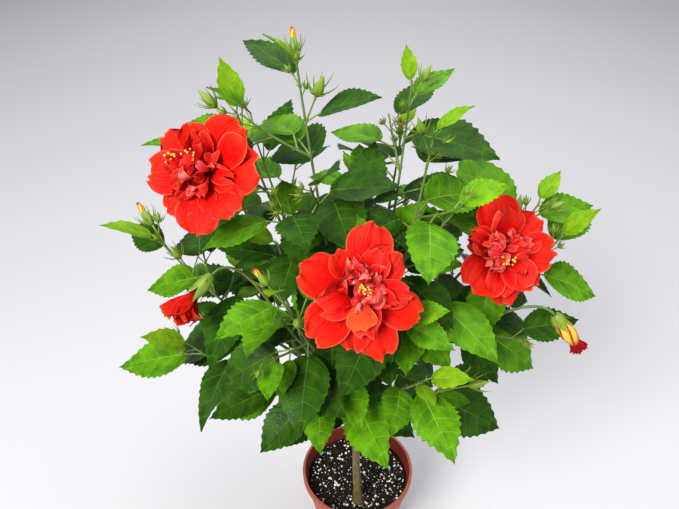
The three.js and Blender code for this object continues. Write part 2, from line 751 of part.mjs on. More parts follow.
// Each bough is cut clear of its parent and of any bough that it crosses at the fork.
const placedLimbs = [limbs.trunk];
for (const row of [...MASSES, ...BLOOMS]) {
  if (row.face) {
    addLimb(row.name, bloomRoute(row), BLOOM.boughShare, BLOOM.boughRadius, BLOOM.stalkRadius, TWIG_SIDES);
  } else {
    const line = routeTo(forkPoint(row), headPoint(row));
    const radius = LIMB.radius + LIMB.radiusPerLength * line.getLength();
    addLimb(row.name, line, 1 - STEM_SHARE, radius, LIMB.tipRadius, LIMB.sides);
  }
  const limb = limbs[row.name];
  const cleared = placedLimbs.reduce(
    (piece, other) => piece.subtract(limbSolid(other, GAP * 1.5)),
    limbSolid(limb),
  );
  const bough = wholeBody(cleared);
  placedLimbs.push(limb);
  place(bough);
  add(`bough_${row.name}`, bough, "bark");
}

for (const row of BLOOMS) {
  const piece = fuse(bloomPieces(row));
  place(piece);
  add(row.name, piece, "petal");
}

const masses = MASSES.map((row) => ({ row, stem: massStem(row), parts: [] }));
for (const { stem, parts } of masses) {
  const piece = twigSolid(stem, STEM.steps, GAP);
  place(piece);
  parts.push(piece);
}
for (const mass of masses) {
  addBuds(mass.row, mass.stem, mass.parts);
  mass.shoots = sideShoots(mass.row, mass.stem);
  for (const shoot of mass.shoots) {
    const piece = twigSolid(shoot, SHOOT.steps);
    place(piece);
    mass.parts.push(piece);
  }
}
BLOOMS.map(outlook).forEach(place);
for (const { row, stem, shoots, parts } of masses) {
  for (const twig of [stem, ...shoots]) addLeaves(twig, parts);
  add(`leaves_${row.name}`, fuse(parts), "leaf");
}

export default plant;
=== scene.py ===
# A double red hibiscus grown as a small standard: a bare trunk in a plastic nursery pot,
# slender arching boughs, toothed glossy leaves, pointed buds and large ruffled blooms.
# The frame gives every place. Lengths of the growth rule are in millimetres, as in the
# frame's source, and meshes are made in metres.
import json
import math

import bmesh
import bpy
import numpy as np
from mathutils import Matrix, Vector
from mathutils.bvhtree import BVHTree

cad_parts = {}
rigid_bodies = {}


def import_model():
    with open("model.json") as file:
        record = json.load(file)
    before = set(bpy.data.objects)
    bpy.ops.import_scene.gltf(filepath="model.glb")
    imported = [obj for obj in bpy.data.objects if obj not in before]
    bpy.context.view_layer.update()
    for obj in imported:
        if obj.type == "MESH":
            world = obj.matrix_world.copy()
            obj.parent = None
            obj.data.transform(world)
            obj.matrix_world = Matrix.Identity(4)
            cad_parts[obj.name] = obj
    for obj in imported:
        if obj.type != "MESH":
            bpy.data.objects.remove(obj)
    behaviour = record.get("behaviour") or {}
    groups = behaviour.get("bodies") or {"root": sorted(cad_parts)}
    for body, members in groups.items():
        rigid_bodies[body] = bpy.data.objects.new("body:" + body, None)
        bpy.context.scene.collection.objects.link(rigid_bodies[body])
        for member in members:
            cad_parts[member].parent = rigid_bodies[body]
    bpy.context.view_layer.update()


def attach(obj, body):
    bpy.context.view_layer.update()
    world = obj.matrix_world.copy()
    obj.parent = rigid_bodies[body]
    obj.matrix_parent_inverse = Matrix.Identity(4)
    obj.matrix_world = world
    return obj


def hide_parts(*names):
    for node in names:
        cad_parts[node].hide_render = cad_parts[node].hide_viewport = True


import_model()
BODY = "root"
MM = 0.001

# ------------------------------------------------------------------ the pot
# A thin nursery pot of terracotta-coloured polypropylene, moulded in one piece: a tapered
# wall, a lip rolled out round the rim and drain slots cut into the foot. Its skin has the
# faint grain and scuffs of a pot that has stood on a bench.
POT_HEIGHT = 145
POT_RIM = 82.5  # radius outside the lip
POT_FOOT = 57
POT_WALL, POT_FLOOR = 1.8, 3
LIP_HEIGHT, LIP_PROUD = 9, 2.6
LIP_ROUND, LIP_CORNER = 1.3, 0.5
POT_SLOPE = (POT_RIM - LIP_PROUD - POT_FOOT) / POT_HEIGHT
FOOT_HOLLOW = 0.8  # the underside inside its ring stands this far off the table
POT_SPOKES = 112
DRAINS, DRAIN_WIDTH, DRAIN_HEIGHT, DRAIN_DEPTH = 6, 12, 7, 14
SHARP_FROM = math.radians(35)  # edges that turn more than this stay crisp


def joining(operation, swapped=False):
    """One sign of Python's arithmetic as a maths node."""

    def join(self, other):
        pair = (other, self) if swapped else (self, other)
        return self.finish.maths(operation, *pair)

    return join


class Socket:
    """A number or colour of a material being mixed, which Python arithmetic can join."""

    def __init__(self, finish, source):
        self.finish, self.source = finish, source

    __add__ = __radd__ = joining("ADD")
    __mul__ = __rmul__ = joining("MULTIPLY")
    __sub__ = joining("SUBTRACT")
    __rsub__ = joining("SUBTRACT", swapped=True)

    def between(self, low, high):
        """A smooth ramp from 0 at low to 1 at high."""
        values = {"Value": self, "From Min": low, "From Max": high}
        return self.finish.node("MapRange", values, interpolation_type="SMOOTHSTEP")


class Finish:
    """One procedural material. node() adds a node and gives its socket back."""

    def __init__(self, name):
        self.material = bpy.data.materials.new(name)
        self.material.use_nodes = True
        self.tree = self.material.node_tree
        self.shader = self.tree.nodes["Principled BSDF"]

    def feed(self, target, value):
        if isinstance(value, Socket):
            self.tree.links.new(value.source, target)
        elif isinstance(value, (tuple, list)) and target.type == "RGBA" and len(value) == 3:
            target.default_value = (*value, 1.0)
        else:
            target.default_value = value

    def node(self, kind, sockets=(), output=0, **settings):
        made = self.tree.nodes.new("ShaderNode" + kind)
        for name, value in settings.items():
            setattr(made, name, value)
        for name, value in dict(sockets).items():
            self.feed(made.inputs[name], value)
        return Socket(self, made.outputs[output])

    def maths(self, operation, *values):
        return self.node("Math", dict(enumerate(values)), operation=operation)

    def part(self, where, axis):
        return self.node("SeparateXYZ", {"Vector": where}, output=axis)

    def stretch(self, where, *scale):
        return self.node("Mapping", {"Vector": where, "Scale": scale})

    def place(self, *scale):
        """Where a point is on the piece, in metres unless it is scaled."""
        return self.stretch(self.node("TexCoord", output="Object"), *(scale or (1, 1, 1)))

    def own_map(self):
        """A point's place on the piece's own map, and its parts across and up the map."""
        where = self.node("UVMap", uv_map="OFBake")
        return where, self.part(where, "X"), self.part(where, "Y")

    def noise(self, where, scale, detail=2.0, roughness=0.5):
        values = {"Vector": where, "Scale": scale, "Detail": detail, "Roughness": roughness}
        return self.node("TexNoise", values, output="Fac")

    def cells(self, where, scale, **settings):
        values = {"Vector": where, "Scale": scale}
        return self.node("TexVoronoi", values, output="Distance", **settings)

    def blend(self, first, second, factor):
        return self.node("Mix", {0: factor, 6: first, 7: second}, output=2, data_type="RGBA")

    def bump(self, height, distance, strength=1.0):
        return self.node("Bump", {"Height": height, "Distance": distance, "Strength": strength})

    def wear(self, **sockets):
        """Sets the shader's sockets, by name with _ for a space, and gives the material."""
        for name, value in sockets.items():
            self.feed(self.shader.inputs[name.replace("_", " ")], value)
        return self.material


def deselect():
    for chosen in bpy.context.selected_objects:
        chosen.select_set(False)


def settle(piece, name, material, replaced=()):
    """Names a finished piece and puts it on the plant, with its place in its mesh."""
    piece.name = piece.data.name = name
    piece.data.transform(piece.matrix_world)
    piece.matrix_world = Matrix.Identity(4)
    piece.data.materials.clear()
    piece.data.materials.append(material)
    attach(piece, BODY)
    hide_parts(*replaced)
    deselect()
    return piece


def spun(outline, steps):
    """Spins an outline of radii and heights, in millimetres, once round the upright axis."""
    deselect()
    bpy.ops.mesh.primitive_plane_add(size=1)
    piece = bpy.context.object
    shape = bmesh.new()
    corners = [shape.verts.new((radius * MM, 0, height * MM)) for radius, height in outline]
    for lower, upper in zip(corners, corners[1:]):
        shape.edges.new((lower, upper))
    shape.to_mesh(piece.data)
    shape.free()
    bpy.ops.object.mode_set(mode="EDIT")
    bpy.ops.mesh.select_all(action="SELECT")
    bpy.ops.mesh.spin(steps=steps, angle=2 * math.pi, center=(0, 0, 0), axis=(0, 0, 1))
    bpy.ops.mesh.select_all(action="SELECT")
    bpy.ops.mesh.remove_doubles(threshold=1e-6)
    bpy.ops.mesh.normals_make_consistent(inside=False)
    bpy.ops.object.mode_set(mode="OBJECT")
    return piece


def cut_away(piece, cutter):
    modifier = piece.modifiers.new("cut", "BOOLEAN")
    modifier.operation, modifier.object, modifier.solver = "DIFFERENCE", cutter, "EXACT"
    deselect()
    piece.select_set(True)
    bpy.context.view_layer.objects.active = piece
    bpy.ops.object.modifier_apply(modifier="cut")
    bpy.data.objects.remove(cutter)


def pot_outline():
    """The pot's section, from the middle of its underside round to the middle of its floor."""
    body_top = POT_RIM - LIP_PROUD
    under_lip = POT_HEIGHT - LIP_HEIGHT

    def wall(height):
        return POT_FOOT + POT_SLOPE * height

    outside = [(0, 0), (POT_FOOT - 9, 0), (POT_FOOT - 8, FOOT_HOLLOW)]
    outside += [(POT_FOOT - 2, FOOT_HOLLOW), (POT_FOOT - 1, 0), (POT_FOOT - 0.3, 0.2)]
    outside += [(wall(height), height) for height in (1, 40, 90, under_lip)]
    lip = [(POT_RIM - LIP_CORNER, under_lip + 0.1), (POT_RIM, under_lip + 0.8)]
    lip += [(POT_RIM, POT_HEIGHT - LIP_ROUND), (POT_RIM - LIP_CORNER, POT_HEIGHT - 0.3)]
    lip += [(POT_RIM - LIP_ROUND, POT_HEIGHT), (body_top - 1.1, POT_HEIGHT)]
    inside = [(body_top - POT_WALL, POT_HEIGHT - 0.9), (wall(90) - POT_WALL, 90)]
    inside += [(wall(POT_FLOOR) - POT_WALL, POT_FLOOR), (0, POT_FLOOR)]
    return outside + lip + inside


pot = spun(pot_outline(), POT_SPOKES)
for i in range(DRAINS):
    turn = 2 * math.pi * (i + 0.5) / DRAINS
    reach, height = POT_FOOT * MM, (DRAIN_HEIGHT / 2 - 1) * MM
    bpy.ops.mesh.primitive_cube_add(
        size=1,
        location=(reach * math.cos(turn), reach * math.sin(turn), height),
        rotation=(0, 0, turn),
        scale=(DRAIN_DEPTH * MM, DRAIN_WIDTH * MM, (DRAIN_HEIGHT + 2) * MM),
    )
    cut_away(pot, bpy.context.object)
pot.data.shade_smooth()
bpy.context.view_layer.objects.active = pot
pot.select_set(True)
bpy.ops.object.shade_smooth_by_angle(angle=SHARP_FROM)


def pot_plastic():
    finish = Finish("terracotta plastic")
    where = finish.place()
    cloud = finish.noise(where, 22, 4)
    grain = finish.noise(where, 900, 2)
    scuffs = finish.noise(finish.place(60, 60, 260), 1.0, 5, 0.7).between(0.6, 0.72)
    colour = finish.blend((0.27, 0.05, 0.024), (0.39, 0.092, 0.045), cloud)
    colour = finish.blend(colour, (0.5, 0.18, 0.11), scuffs * 0.35)
    # The inner face of the wall is painted dark red-brown: painted shade, where the pot's wall
    # shades its own inside.
    flat = finish.node("VectorMath", {0: where, 1: (1, 1, 0)}, operation="MULTIPLY")
    reach = finish.node("VectorMath", {0: flat}, output="Value", operation="LENGTH")
    mid_wall = (POT_FOOT - 1.1) * MM + finish.part(where, "Z") * POT_SLOPE
    inside = (mid_wall - reach).between(0, 0.0006)
    colour = finish.blend(colour, (0.13, 0.012, 0.006), inside * 0.95)
    return finish.wear(
        Base_Color=colour,
        Roughness=0.42 + cloud * 0.1 + scuffs * 0.15,
        Normal=finish.bump(grain, 0.0001, 0.35),
    )


settle(pot, "pot_moulded", pot_plastic(), ["pot"])

# ------------------------------------------------------------------ the potting mix
# Damp potting mix of composted bark and peat, filled to a little under the lip. White
# perlite grains and chips of bark lie loose all over it.
SOIL_TOP, SOIL_CROWN = 123, 3
SOIL_GAP = 0.3  # between the mix and what it touches
SOIL_RINGS, SOIL_SPOKES = 26, 112
# the size, pitch and phase of the waves that make the mix uneven, and how far they sink it
CRUMBS = ((0.9, 0.11, 0.4), (0.6, 0.29, 1.9), (0.5, 0.61, 3.1), (0.35, 1.3, 5.2))
CRUMBS_SUNK = 0.6
PERLITE, CHIPS = 560, 520
GRAIN_ROUGHNESS = (0.72, 1.2)
GRAIN_BIAS = 2.4  # most grains are small


def mesh_piece(points, faces, uv=None, smooth=True):
    """A mesh from arrays of points in metres and faces that all have as many corners."""
    mesh, faces = bpy.data.meshes.new("made"), np.asarray(faces)
    mesh.from_pydata(points.tolist(), [], faces.tolist())
    mesh.polygons.foreach_set("use_smooth", np.full(len(faces), smooth))
    if uv is not None:
        layer = mesh.uv_layers.new(name="OFBake")
        layer.data.foreach_set("uv", uv[faces.ravel()].ravel())
    mesh.validate()
    piece = bpy.data.objects.new("made", mesh)
    bpy.context.scene.collection.objects.link(piece)
    return piece


def soil_radius(height):
    return POT_FOOT + POT_SLOPE * height - POT_WALL - SOIL_GAP


def soil_height(radius, spots):
    share = np.clip(radius / soil_radius(SOIL_TOP), 0, 1)
    x, y = spots.T
    crumbs = sum(
        size * np.sin(x * pitch + phase) * np.cos(y * pitch * 0.87 - phase * 1.7)
        for size, pitch, phase in CRUMBS
    )
    return SOIL_TOP + SOIL_CROWN * (1 - share**2) + (crumbs - CRUMBS_SUNK) * (1 - 0.5 * share)


def soil_bed():
    radius = soil_radius(SOIL_TOP) * (np.arange(SOIL_RINGS) + 1) / SOIL_RINGS
    turn = 2 * np.pi * np.arange(SOIL_SPOKES) / SOIL_SPOKES
    ways = np.column_stack([np.cos(turn), np.sin(turn)])
    spots = (radius[:, None, None] * ways).reshape(-1, 2)
    top = np.column_stack([spots, soil_height(np.hypot(*spots.T), spots)])
    floor = POT_FLOOR + SOIL_GAP
    foot = np.column_stack([ways * soil_radius(floor), np.full(SOIL_SPOKES, floor)])
    points = [*top, *foot, (0, 0, SOIL_TOP + SOIL_CROWN - CRUMBS_SUNK), (0, 0, floor)]
    faces, last = [], SOIL_RINGS * SOIL_SPOKES
    for ring in range(0, last, SOIL_SPOKES):
        for k in range(SOIL_SPOKES):
            a, b = ring + k, ring + (k + 1) % SOIL_SPOKES
            faces += [(a, a + SOIL_SPOKES, b + SOIL_SPOKES), (a, b + SOIL_SPOKES, b)]
    for k in range(SOIL_SPOKES):
        after = (k + 1) % SOIL_SPOKES
        faces += [(len(points) - 2, k, after), (len(points) - 1, last + after, last + k)]
    return mesh_piece(np.array(points) * MM, faces)


def potting_mix():
    finish = Finish("damp potting mix")
    where = finish.place()
    lumps = finish.noise(where, 160, 5, 0.65)
    fibres = finish.cells(where, 420)
    colour = finish.blend((0.003, 0.0025, 0.002), (0.018, 0.012, 0.009), lumps.between(0.35, 0.75))
    colour = finish.blend(colour, (0.04, 0.026, 0.016), fibres.between(0.55, 0.9) * 0.5)
    return finish.wear(
        Base_Color=colour,
        Roughness=0.95 - lumps * 0.2,
        Specular_IOR_Level=0.12,
        Normal=finish.bump(lumps + fibres * 0.5, 0.0012, 0.9),
    )


settle(soil_bed(), "potting_mix", potting_mix(), ["soil"])


def scattered(count, seed, shape, corners, size, flat, sink):
    """Loose grains: copies of one rough lump, each turned, stretched and bedded in the mix."""
    draws = np.random.default_rng(seed)
    shape, corners = np.asarray(shape, dtype=float), np.asarray(corners)
    reach = np.sqrt(draws.uniform(0.004, 1, count)) * (soil_radius(SOIL_TOP) - 3)
    turn = draws.uniform(0, 2 * np.pi, count)
    spots = np.column_stack([reach * np.cos(turn), reach * np.sin(turn)])
    heights = soil_height(reach, spots)
    points, faces = [], []
    for i in range(count):
        lump = shape * draws.uniform(*GRAIN_ROUGHNESS, (len(shape), 1))
        lump = lump * (size[0] + (size[1] - size[0]) * draws.uniform() ** GRAIN_BIAS)
        lump = lump * np.array([1, draws.uniform(*flat), draws.uniform(*flat)])
        tilt = Matrix.Rotation(draws.uniform(0, 2 * np.pi), 3, "Z")
        tilt = tilt @ Matrix.Rotation(draws.normal(0, 0.45), 3, "X")
        faces.append(corners + len(points) * len(shape))
        points.append(lump @ np.array(tilt).T + np.array([*spots[i], heights[i] + sink]))
    return mesh_piece(np.concatenate(points) * MM, np.concatenate(faces), smooth=False)


def icosahedron():
    golden = (1 + 5**0.5) / 2
    points = [(-1, golden, 0), (1, golden, 0), (-1, -golden, 0), (1, -golden, 0)]
    points += [(0, -1, golden), (0, 1, golden), (0, -1, -golden), (0, 1, -golden)]
    points += [(golden, 0, -1), (golden, 0, 1), (-golden, 0, -1), (-golden, 0, 1)]
    faces = [(0, 11, 5), (0, 5, 1), (0, 1, 7), (0, 7, 10), (0, 10, 11), (1, 5, 9), (5, 11, 4)]
    faces += [(11, 10, 2), (10, 7, 6), (7, 1, 8), (3, 9, 4), (3, 4, 2), (3, 2, 6), (3, 6, 8)]
    faces += [(3, 8, 9), (4, 9, 5), (2, 4, 11), (6, 2, 10), (8, 6, 7), (9, 8, 1)]
    return np.array(points) / 1.9, faces


CHIP = [(-1, -0.7, -1), (1, -1, -1), (1, 0.8, -1), (-1, 1, -1)]
CHIP += [(-0.8, -1, 1), (0.9, -0.7, 1), (1, 1, 1), (-1, 0.7, 1)]
CHIP_FACES = [(0, 3, 2), (0, 2, 1), (4, 5, 6), (4, 6, 7), (0, 1, 5), (0, 5, 4), (1, 2, 6)]
CHIP_FACES += [(1, 6, 5), (2, 3, 7), (2, 7, 6), (3, 0, 4), (3, 4, 7)]


def grain_finish(name, dark, light, roughness):
    finish = Finish(name)
    where = finish.place()
    return finish.wear(
        Base_Color=finish.blend(dark, light, finish.noise(where, 240, 3)),
        Roughness=roughness,
        Specular_IOR_Level=0.15,
        Normal=finish.bump(finish.noise(where, 1500, 2), 0.0003, 0.8),
    )


perlite = scattered(PERLITE, 5, *icosahedron(), size=(0.55, 2.3), flat=(0.7, 1), sink=0.2)
white = grain_finish("perlite", (0.62, 0.6, 0.56), (0.9, 0.9, 0.88), 0.9)
settle(perlite, "perlite", white)
chips = scattered(CHIPS, 6, CHIP, CHIP_FACES, size=(1.1, 4.2), flat=(0.18, 0.5), sink=0)
brown = grain_finish("bark chips", (0.008, 0.005, 0.004), (0.045, 0.026, 0.015), 0.85)
settle(chips, "bark_chips", brown)

# ------------------------------------------------------------------ the trunk and its boughs
# One slim trunk of smooth olive-brown young bark, faintly ridged and ringed where leaves
# once stood, carries green to brown boughs that climb late, like the side of a vase. They
# follow the frame's own rule, and are joined into one skin that replaces its limbs.
TRUNK_FOOT = Vector((0, -44, SOIL_TOP + SOIL_CROWN + SOIL_GAP))
TRUNK_FORK = Vector((4, -40, 392))
TRUNK_SWAY = Vector((-5, 2, 0))
TRUNK_RADII = (5.8, 4.3)
FLARE, FLARE_HEIGHT = 3, 14
# a bough bends at this share of its reach and of its climb, and a little higher
BEND_OUT, BEND_UP, BEND_LIFT = 0.6, 0.3, 12
BOUGH_FOOT, BOUGH_GAIN, BOUGH_TIP = 2, 0.004, 1.8  # radii, and more radius for its length
BLOOM_BOUGH_RADII = (2.2, 1.5)
# the head: its axis, its radius, the height of its heart, its reach above that, its foot
HEAD_X, HEAD_Y, HEAD_RADIUS, HEART, ABOVE, HEAD_FOOT = 0, -44, 312, 470, 345, 335
FRONT_FROM, FRONT_RISE = -105, 0.85  # its foot is higher in front
TOP_LEAVES, LOW_LEAVES = 745, 420  # heights where leaves are smallest and largest
LIGHT = Vector((0, -0.4, 0.9))
STEM_SHARE = 0.62  # of a bough's length, which its mass takes up
BARK_NODES = 26  # between two old leaf scars
TIP_ARCS = (0.4, 0.8, 1.2, 1.5)
EDGE_ON = 0.8  # a way steeper than this takes its side from another axis

# name, parent limb, share of it, turn about the trunk, reach, height, seed, buds
MASSES = [
    ("left_low", "trunk", 0.68, -176, 198, 456, 11, 1),
    ("back_right_low", "trunk", 0.7, 66, 165, 450, 12, 0),
    ("front_right_low", "trunk", 0.725, -38, 124, 446, 45, 1),
    ("back_left_low", "trunk", 0.75, 140, 200, 450, 14, 0),
    ("front_fork", "trunk", 0.765, -122, 118, 478, 32, 0),
    ("front_low", "trunk", 0.775, -100, 88, 452, 51, 0),
    ("back", "trunk", 0.8, 88, 185, 560, 18, 1),
    ("front_left_low", "trunk", 0.82, -143, 128, 452, 47, 0),
    ("right", "trunk", 0.845, 4, 222, 574, 40, 0),
    ("left", "trunk", 0.87, 173, 222, 575, 53, 2),
    ("front_right", "trunk", 0.895, -58, 122, 482, 20, 0),
    ("front_left", "trunk", 0.92, -126, 130, 600, 21, 2),
    ("right_high", "trunk", 0.945, 10, 200, 605, 55, 2),
    ("back_left", "back", 0.5, 132, 170, 640, 23, 1),
    ("back_right", "back", 0.8, 66, 135, 655, 24, 1),
    ("top", "trunk", 0.96, 38, 68, 738, 27, 1),
    ("top_left", "trunk", 0.97, 170, 56, 770, 26, 2),
    ("upper_left", "top_left", 0.6, 170, 118, 722, 25, 1),
    ("top_right", "trunk", 0.985, -30, 76, 722, 38, 1),
    ("heart_front", "top_right", 0.5, -85, 62, 610, 29, 0),
    ("heart_left", "front_left", 0.6, -172, 85, 590, 30, 0),
    ("heart_right", "right_high", 0.5, -30, 95, 590, 31, 0),
    ("heart_low", "front_left", 0.35, -150, 105, 540, 33, 0),
]

# name, parent limb, share of it, turn, reach, height, the way it looks, spread, open, seed
BLOOMS = [
    ("bloom_front", "front_left", 0.4, -91, 106, 602, (-92, 38), 116, 78, 41),
    ("bloom_left", "left", 0.6, -164, 148, 690, (-104, 30), 112, 76, 42),
    ("bloom_right", "right_high", 0.5, -7, 150, 580, (-78, 34), 110, 74, 43),
    ("bloom_faded", "left", 0.75, -172, 182, 532, (-150, -38), 92, 30, 44),
    ("bloom_opening", "right", 0.75, -8, 237, 474, (-12, -52), 84, 9, 45),
]
# how far behind a bloom's middle its calyx and throat are, how far its claws are sunk in
# the throat, the bend of its bough, and the share of that which is wood
CALYX_BACK, THROAT_BACK, CLAW_SUNK, BLOOM_BEND, BLOOM_BOUGH_SHARE = 34, 12, 6, 50, 0.6
OPEN_FROM, FURLED_UNDER = 60, 20  # degrees


def lerp(low, high, share):
    return low + (high - low) * share


def clamp01(value):
    return min(1.0, max(0.0, value))


class Line:
    """A curve with one bend, by the share of it from 0 to 1."""

    def __init__(self, start, bend, end):
        self.start, self.bend, self.end = start, bend, end

    def at(self, share):
        rest = 1 - share
        return self.start * rest * rest + self.bend * (2 * rest * share) + self.end * share * share

    def way(self, share):
        first, second = self.bend - self.start, self.end - self.bend
        return (first * (1 - share) + second * share).normalized()

    def spots(self, steps):
        return [self.at(i / steps) for i in range(steps + 1)]

    def length(self):
        spots = self.spots(200)
        return sum((b - a).length for a, b in zip(spots, spots[1:]))


def guide_of(way):
    return Vector((0, 0, 1)) if abs(way.z) < EDGE_ON else Vector((0, 1, 0))


def across(way, guide=None):
    side = way.cross(guide_of(way) if guide is None else guide).normalized()
    return side, side.cross(way)


def on_ring(centre, axes, radius, angle):
    side, rise = axes
    return centre + side * (radius * math.cos(angle)) + rise * (radius * math.sin(angle))


def leaning(way, turn, lean):
    side, rise = across(way)
    out = math.sin(lean)
    return way * math.cos(lean) + side * (math.cos(turn) * out) + rise * (math.sin(turn) * out)


def way_of(turn, rise):
    a, b = math.radians(turn), math.radians(rise)
    return Vector((math.cos(a) * math.cos(b), math.sin(a) * math.cos(b), math.sin(b)))


def head_point(turn, reach, height):
    angle = math.radians(turn)
    return Vector((HEAD_X + reach * math.cos(angle), HEAD_Y + reach * math.sin(angle), height))


def draws_from(seed):
    """A stream of even draws of its own for each shoot and leaf, as in the frame's source."""
    state = seed % 2147483647

    def following():
        nonlocal state
        state = state * 16807 % 2147483647
        return state / 2147483647

    for _ in range(3):
        following()
    return lambda low, high: low + (high - low) * following()


class Limb:
    """A trunk or bough: its curve, the share of it where it ends, and its radius by share."""

    def __init__(self, line, ends, radius_at, sides, steps):
        self.line, self.ends, self.radius_at = line, ends, radius_at
        self.sides, self.steps = sides, steps


class Bloom:
    """One flower by its row of BLOOMS: its places from the middle back, and its way."""

    def __init__(self, name, parent, at, turn, reach, height, facing, spread, opened, seed):
        self.name, self.parent, self.at = name, parent, at
        self.spread, self.opened, self.seed = spread, opened, seed
        self.open, self.furled = opened > OPEN_FROM, opened < FURLED_UNDER
        self.middle, self.way = head_point(turn, reach, height), way_of(*facing)
        self.throat = self.middle - self.way * THROAT_BACK
        self.calyx = self.middle - self.way * CALYX_BACK
        self.claws = self.throat - self.way * CLAW_SUNK


def trunk_radius(share):
    above = share * (TRUNK_FORK.z - TRUNK_FOOT.z)
    return lerp(*TRUNK_RADII, share) + FLARE * math.exp(-above / FLARE_HEIGHT)


def tapered(low, high, ends):
    return lambda share: lerp(low, high, min(1, share / ends))


trunk_line = Line(TRUNK_FOOT, TRUNK_FOOT.lerp(TRUNK_FORK, 0.5) + TRUNK_SWAY * 2, TRUNK_FORK)
limbs = {"trunk": Limb(trunk_line, 1, trunk_radius, 9, 9)}
for name, parent, at, turn, reach, height, _, _ in MASSES:
    start, tip = limbs[parent].line.at(at * limbs[parent].ends), head_point(turn, reach, height)
    bend = start.lerp(tip, BEND_OUT)
    bend.z = lerp(start.z, tip.z, BEND_UP) + BEND_LIFT
    line, ends = Line(start, bend, tip), 1 - STEM_SHARE
    radius_at = tapered(BOUGH_FOOT + BOUGH_GAIN * line.length(), BOUGH_TIP, ends)
    limbs[name] = Limb(line, ends, radius_at, 4, 3)
blooms = [Bloom(*row) for row in BLOOMS]
for bloom in blooms:
    parent = limbs[bloom.parent]
    start, bend = parent.line.at(bloom.at * parent.ends), bloom.calyx - bloom.way * BLOOM_BEND
    radius_at = tapered(*BLOOM_BOUGH_RADII, BLOOM_BOUGH_SHARE)
    line = Line(start, bend, bloom.calyx)
    limbs[bloom.name] = Limb(line, BLOOM_BOUGH_SHARE, radius_at, 3, 3)


def tube(spots, radii, sides, ways=None, closed=True):
    """Points and triangles of a tapering tube, flat at both ends unless it is left open."""
    last = len(spots) - 1
    guide = guide_of((spots[last] - spots[0]).normalized())
    points, faces = [], []
    for i, spot in enumerate(spots):
        way = ways[i] if ways else (spots[min(i + 1, last)] - spots[max(i - 1, 0)]).normalized()
        axes = across(way, guide)
        points += [on_ring(spot, axes, radii[i], 2 * math.pi * k / sides) for k in range(sides)]
    for i in range(last):
        for k in range(sides):
            a, b = i * sides + k, i * sides + (k + 1) % sides
            faces += [(a, a + sides, b), (b, a + sides, b + sides)]
    if closed:
        end = last * sides
        for k in range(1, sides - 1):
            faces += [(0, k, k + 1), (end, end + k + 1, end + k)]
    return points, faces


def tube_along(limb, low, high, steps, sides):
    shares = [lerp(low, high, i / steps) for i in range(steps + 1)]
    line, radii = limb.line, [limb.radius_at(s) for s in shares]
    return tube([line.at(s) for s in shares], radii, sides, [line.way(s) for s in shares])


def grid(rows, row, outward=True):
    """Four-cornered faces between rows of points."""
    corners = (0, row, row + 1, 1) if outward else (0, 1, row + 1, row)
    starts = [first + k for first in range(0, (rows - 1) * row, row) for k in range(row - 1)]
    return [tuple(a + corner for corner in corners) for a in starts]


def wrapped(rings, sides, relief=lambda k, angle, told: 1):
    """A skin with a seam round rings: each its centre, axes, radius, place up the map, and
    what relief is told of it."""
    points, places = [], []
    for centre, axes, radius, up, told in rings:
        for k in range(sides + 1):
            angle = 2 * math.pi * (k % sides) / sides
            points.append(on_ring(centre, axes, radius * relief(k, angle, told), angle))
            places.append((k / sides, up))
    return points, grid(len(rings), sides + 1), places


def off_scar(along, spacing):
    """How far a place is from the nearest leaf scar, from how many spacings along it is."""
    return abs(along - round(along)) * spacing


class Heap:
    """Many small shapes joined into one mesh: points, faces and places on their own map."""

    def __init__(self):
        self.points, self.faces, self.spots, self.count = [], [], [], 0

    def put(self, points, faces, spots=None):
        self.points.append(np.asarray([tuple(p) for p in points]))
        self.faces.append(np.asarray(faces) + self.count)
        if spots is not None:
            self.spots.append(np.asarray(spots))
        self.count += len(points)

    def piece(self, smooth=True):
        spots = np.concatenate(self.spots) if self.spots else None
        points, faces = np.concatenate(self.points) * MM, np.concatenate(self.faces)
        return mesh_piece(points, faces, spots, smooth)


def bark_tube(limb, sides, spacing, seed):
    """A limb's skin: faint ridges along it, a swollen ring at each old node and a healed tip."""
    draws = np.random.default_rng(seed)
    length = limb.line.length() * limb.ends
    steps = max(4, round(length / spacing))
    phase = draws.uniform(0, 2 * np.pi, 4)
    first = draws.uniform(0.2, 0.8) * BARK_NODES

    def relief(_, angle, told):
        along, swell = told
        ridge = 0.035 * math.sin(3 * angle + phase[0] + along * 0.02)
        ridge += 0.025 * math.sin(5 * angle + phase[1] - along * 0.035)
        ripple = 0.02 * math.sin(along * 0.9 + 2 * angle + phase[2])
        return 1 + swell + ridge + ripple * math.sin(along * 0.23 + phase[3])

    rings = []
    parts = [(0, 0.04, 0), (0, 0.6, 0), *((i / steps, 1, 0) for i in range(steps + 1))]
    parts += [(1, math.cos(arc), math.sin(arc)) for arc in TIP_ARCS]
    for part, wide, past in parts:
        share, along = limb.ends * part, length * part
        way, radius = limb.line.way(share), limb.radius_at(share)
        centre = limb.line.at(share) + way * (past * radius * 0.6)
        near = off_scar((along - first) / BARK_NODES, BARK_NODES)
        swell = 0.09 * math.exp(-((near / (radius * 0.55)) ** 2))
        rings.append((centre, across(way), radius * wide, along * MM, (along, swell)))
    return wrapped(rings, sides, relief)


wood = Heap()
for i, (name, limb) in enumerate(limbs.items()):
    wood.put(*bark_tube(limb, *((22, 3.2) if name == "trunk" else (12, 4)), 60 + i))


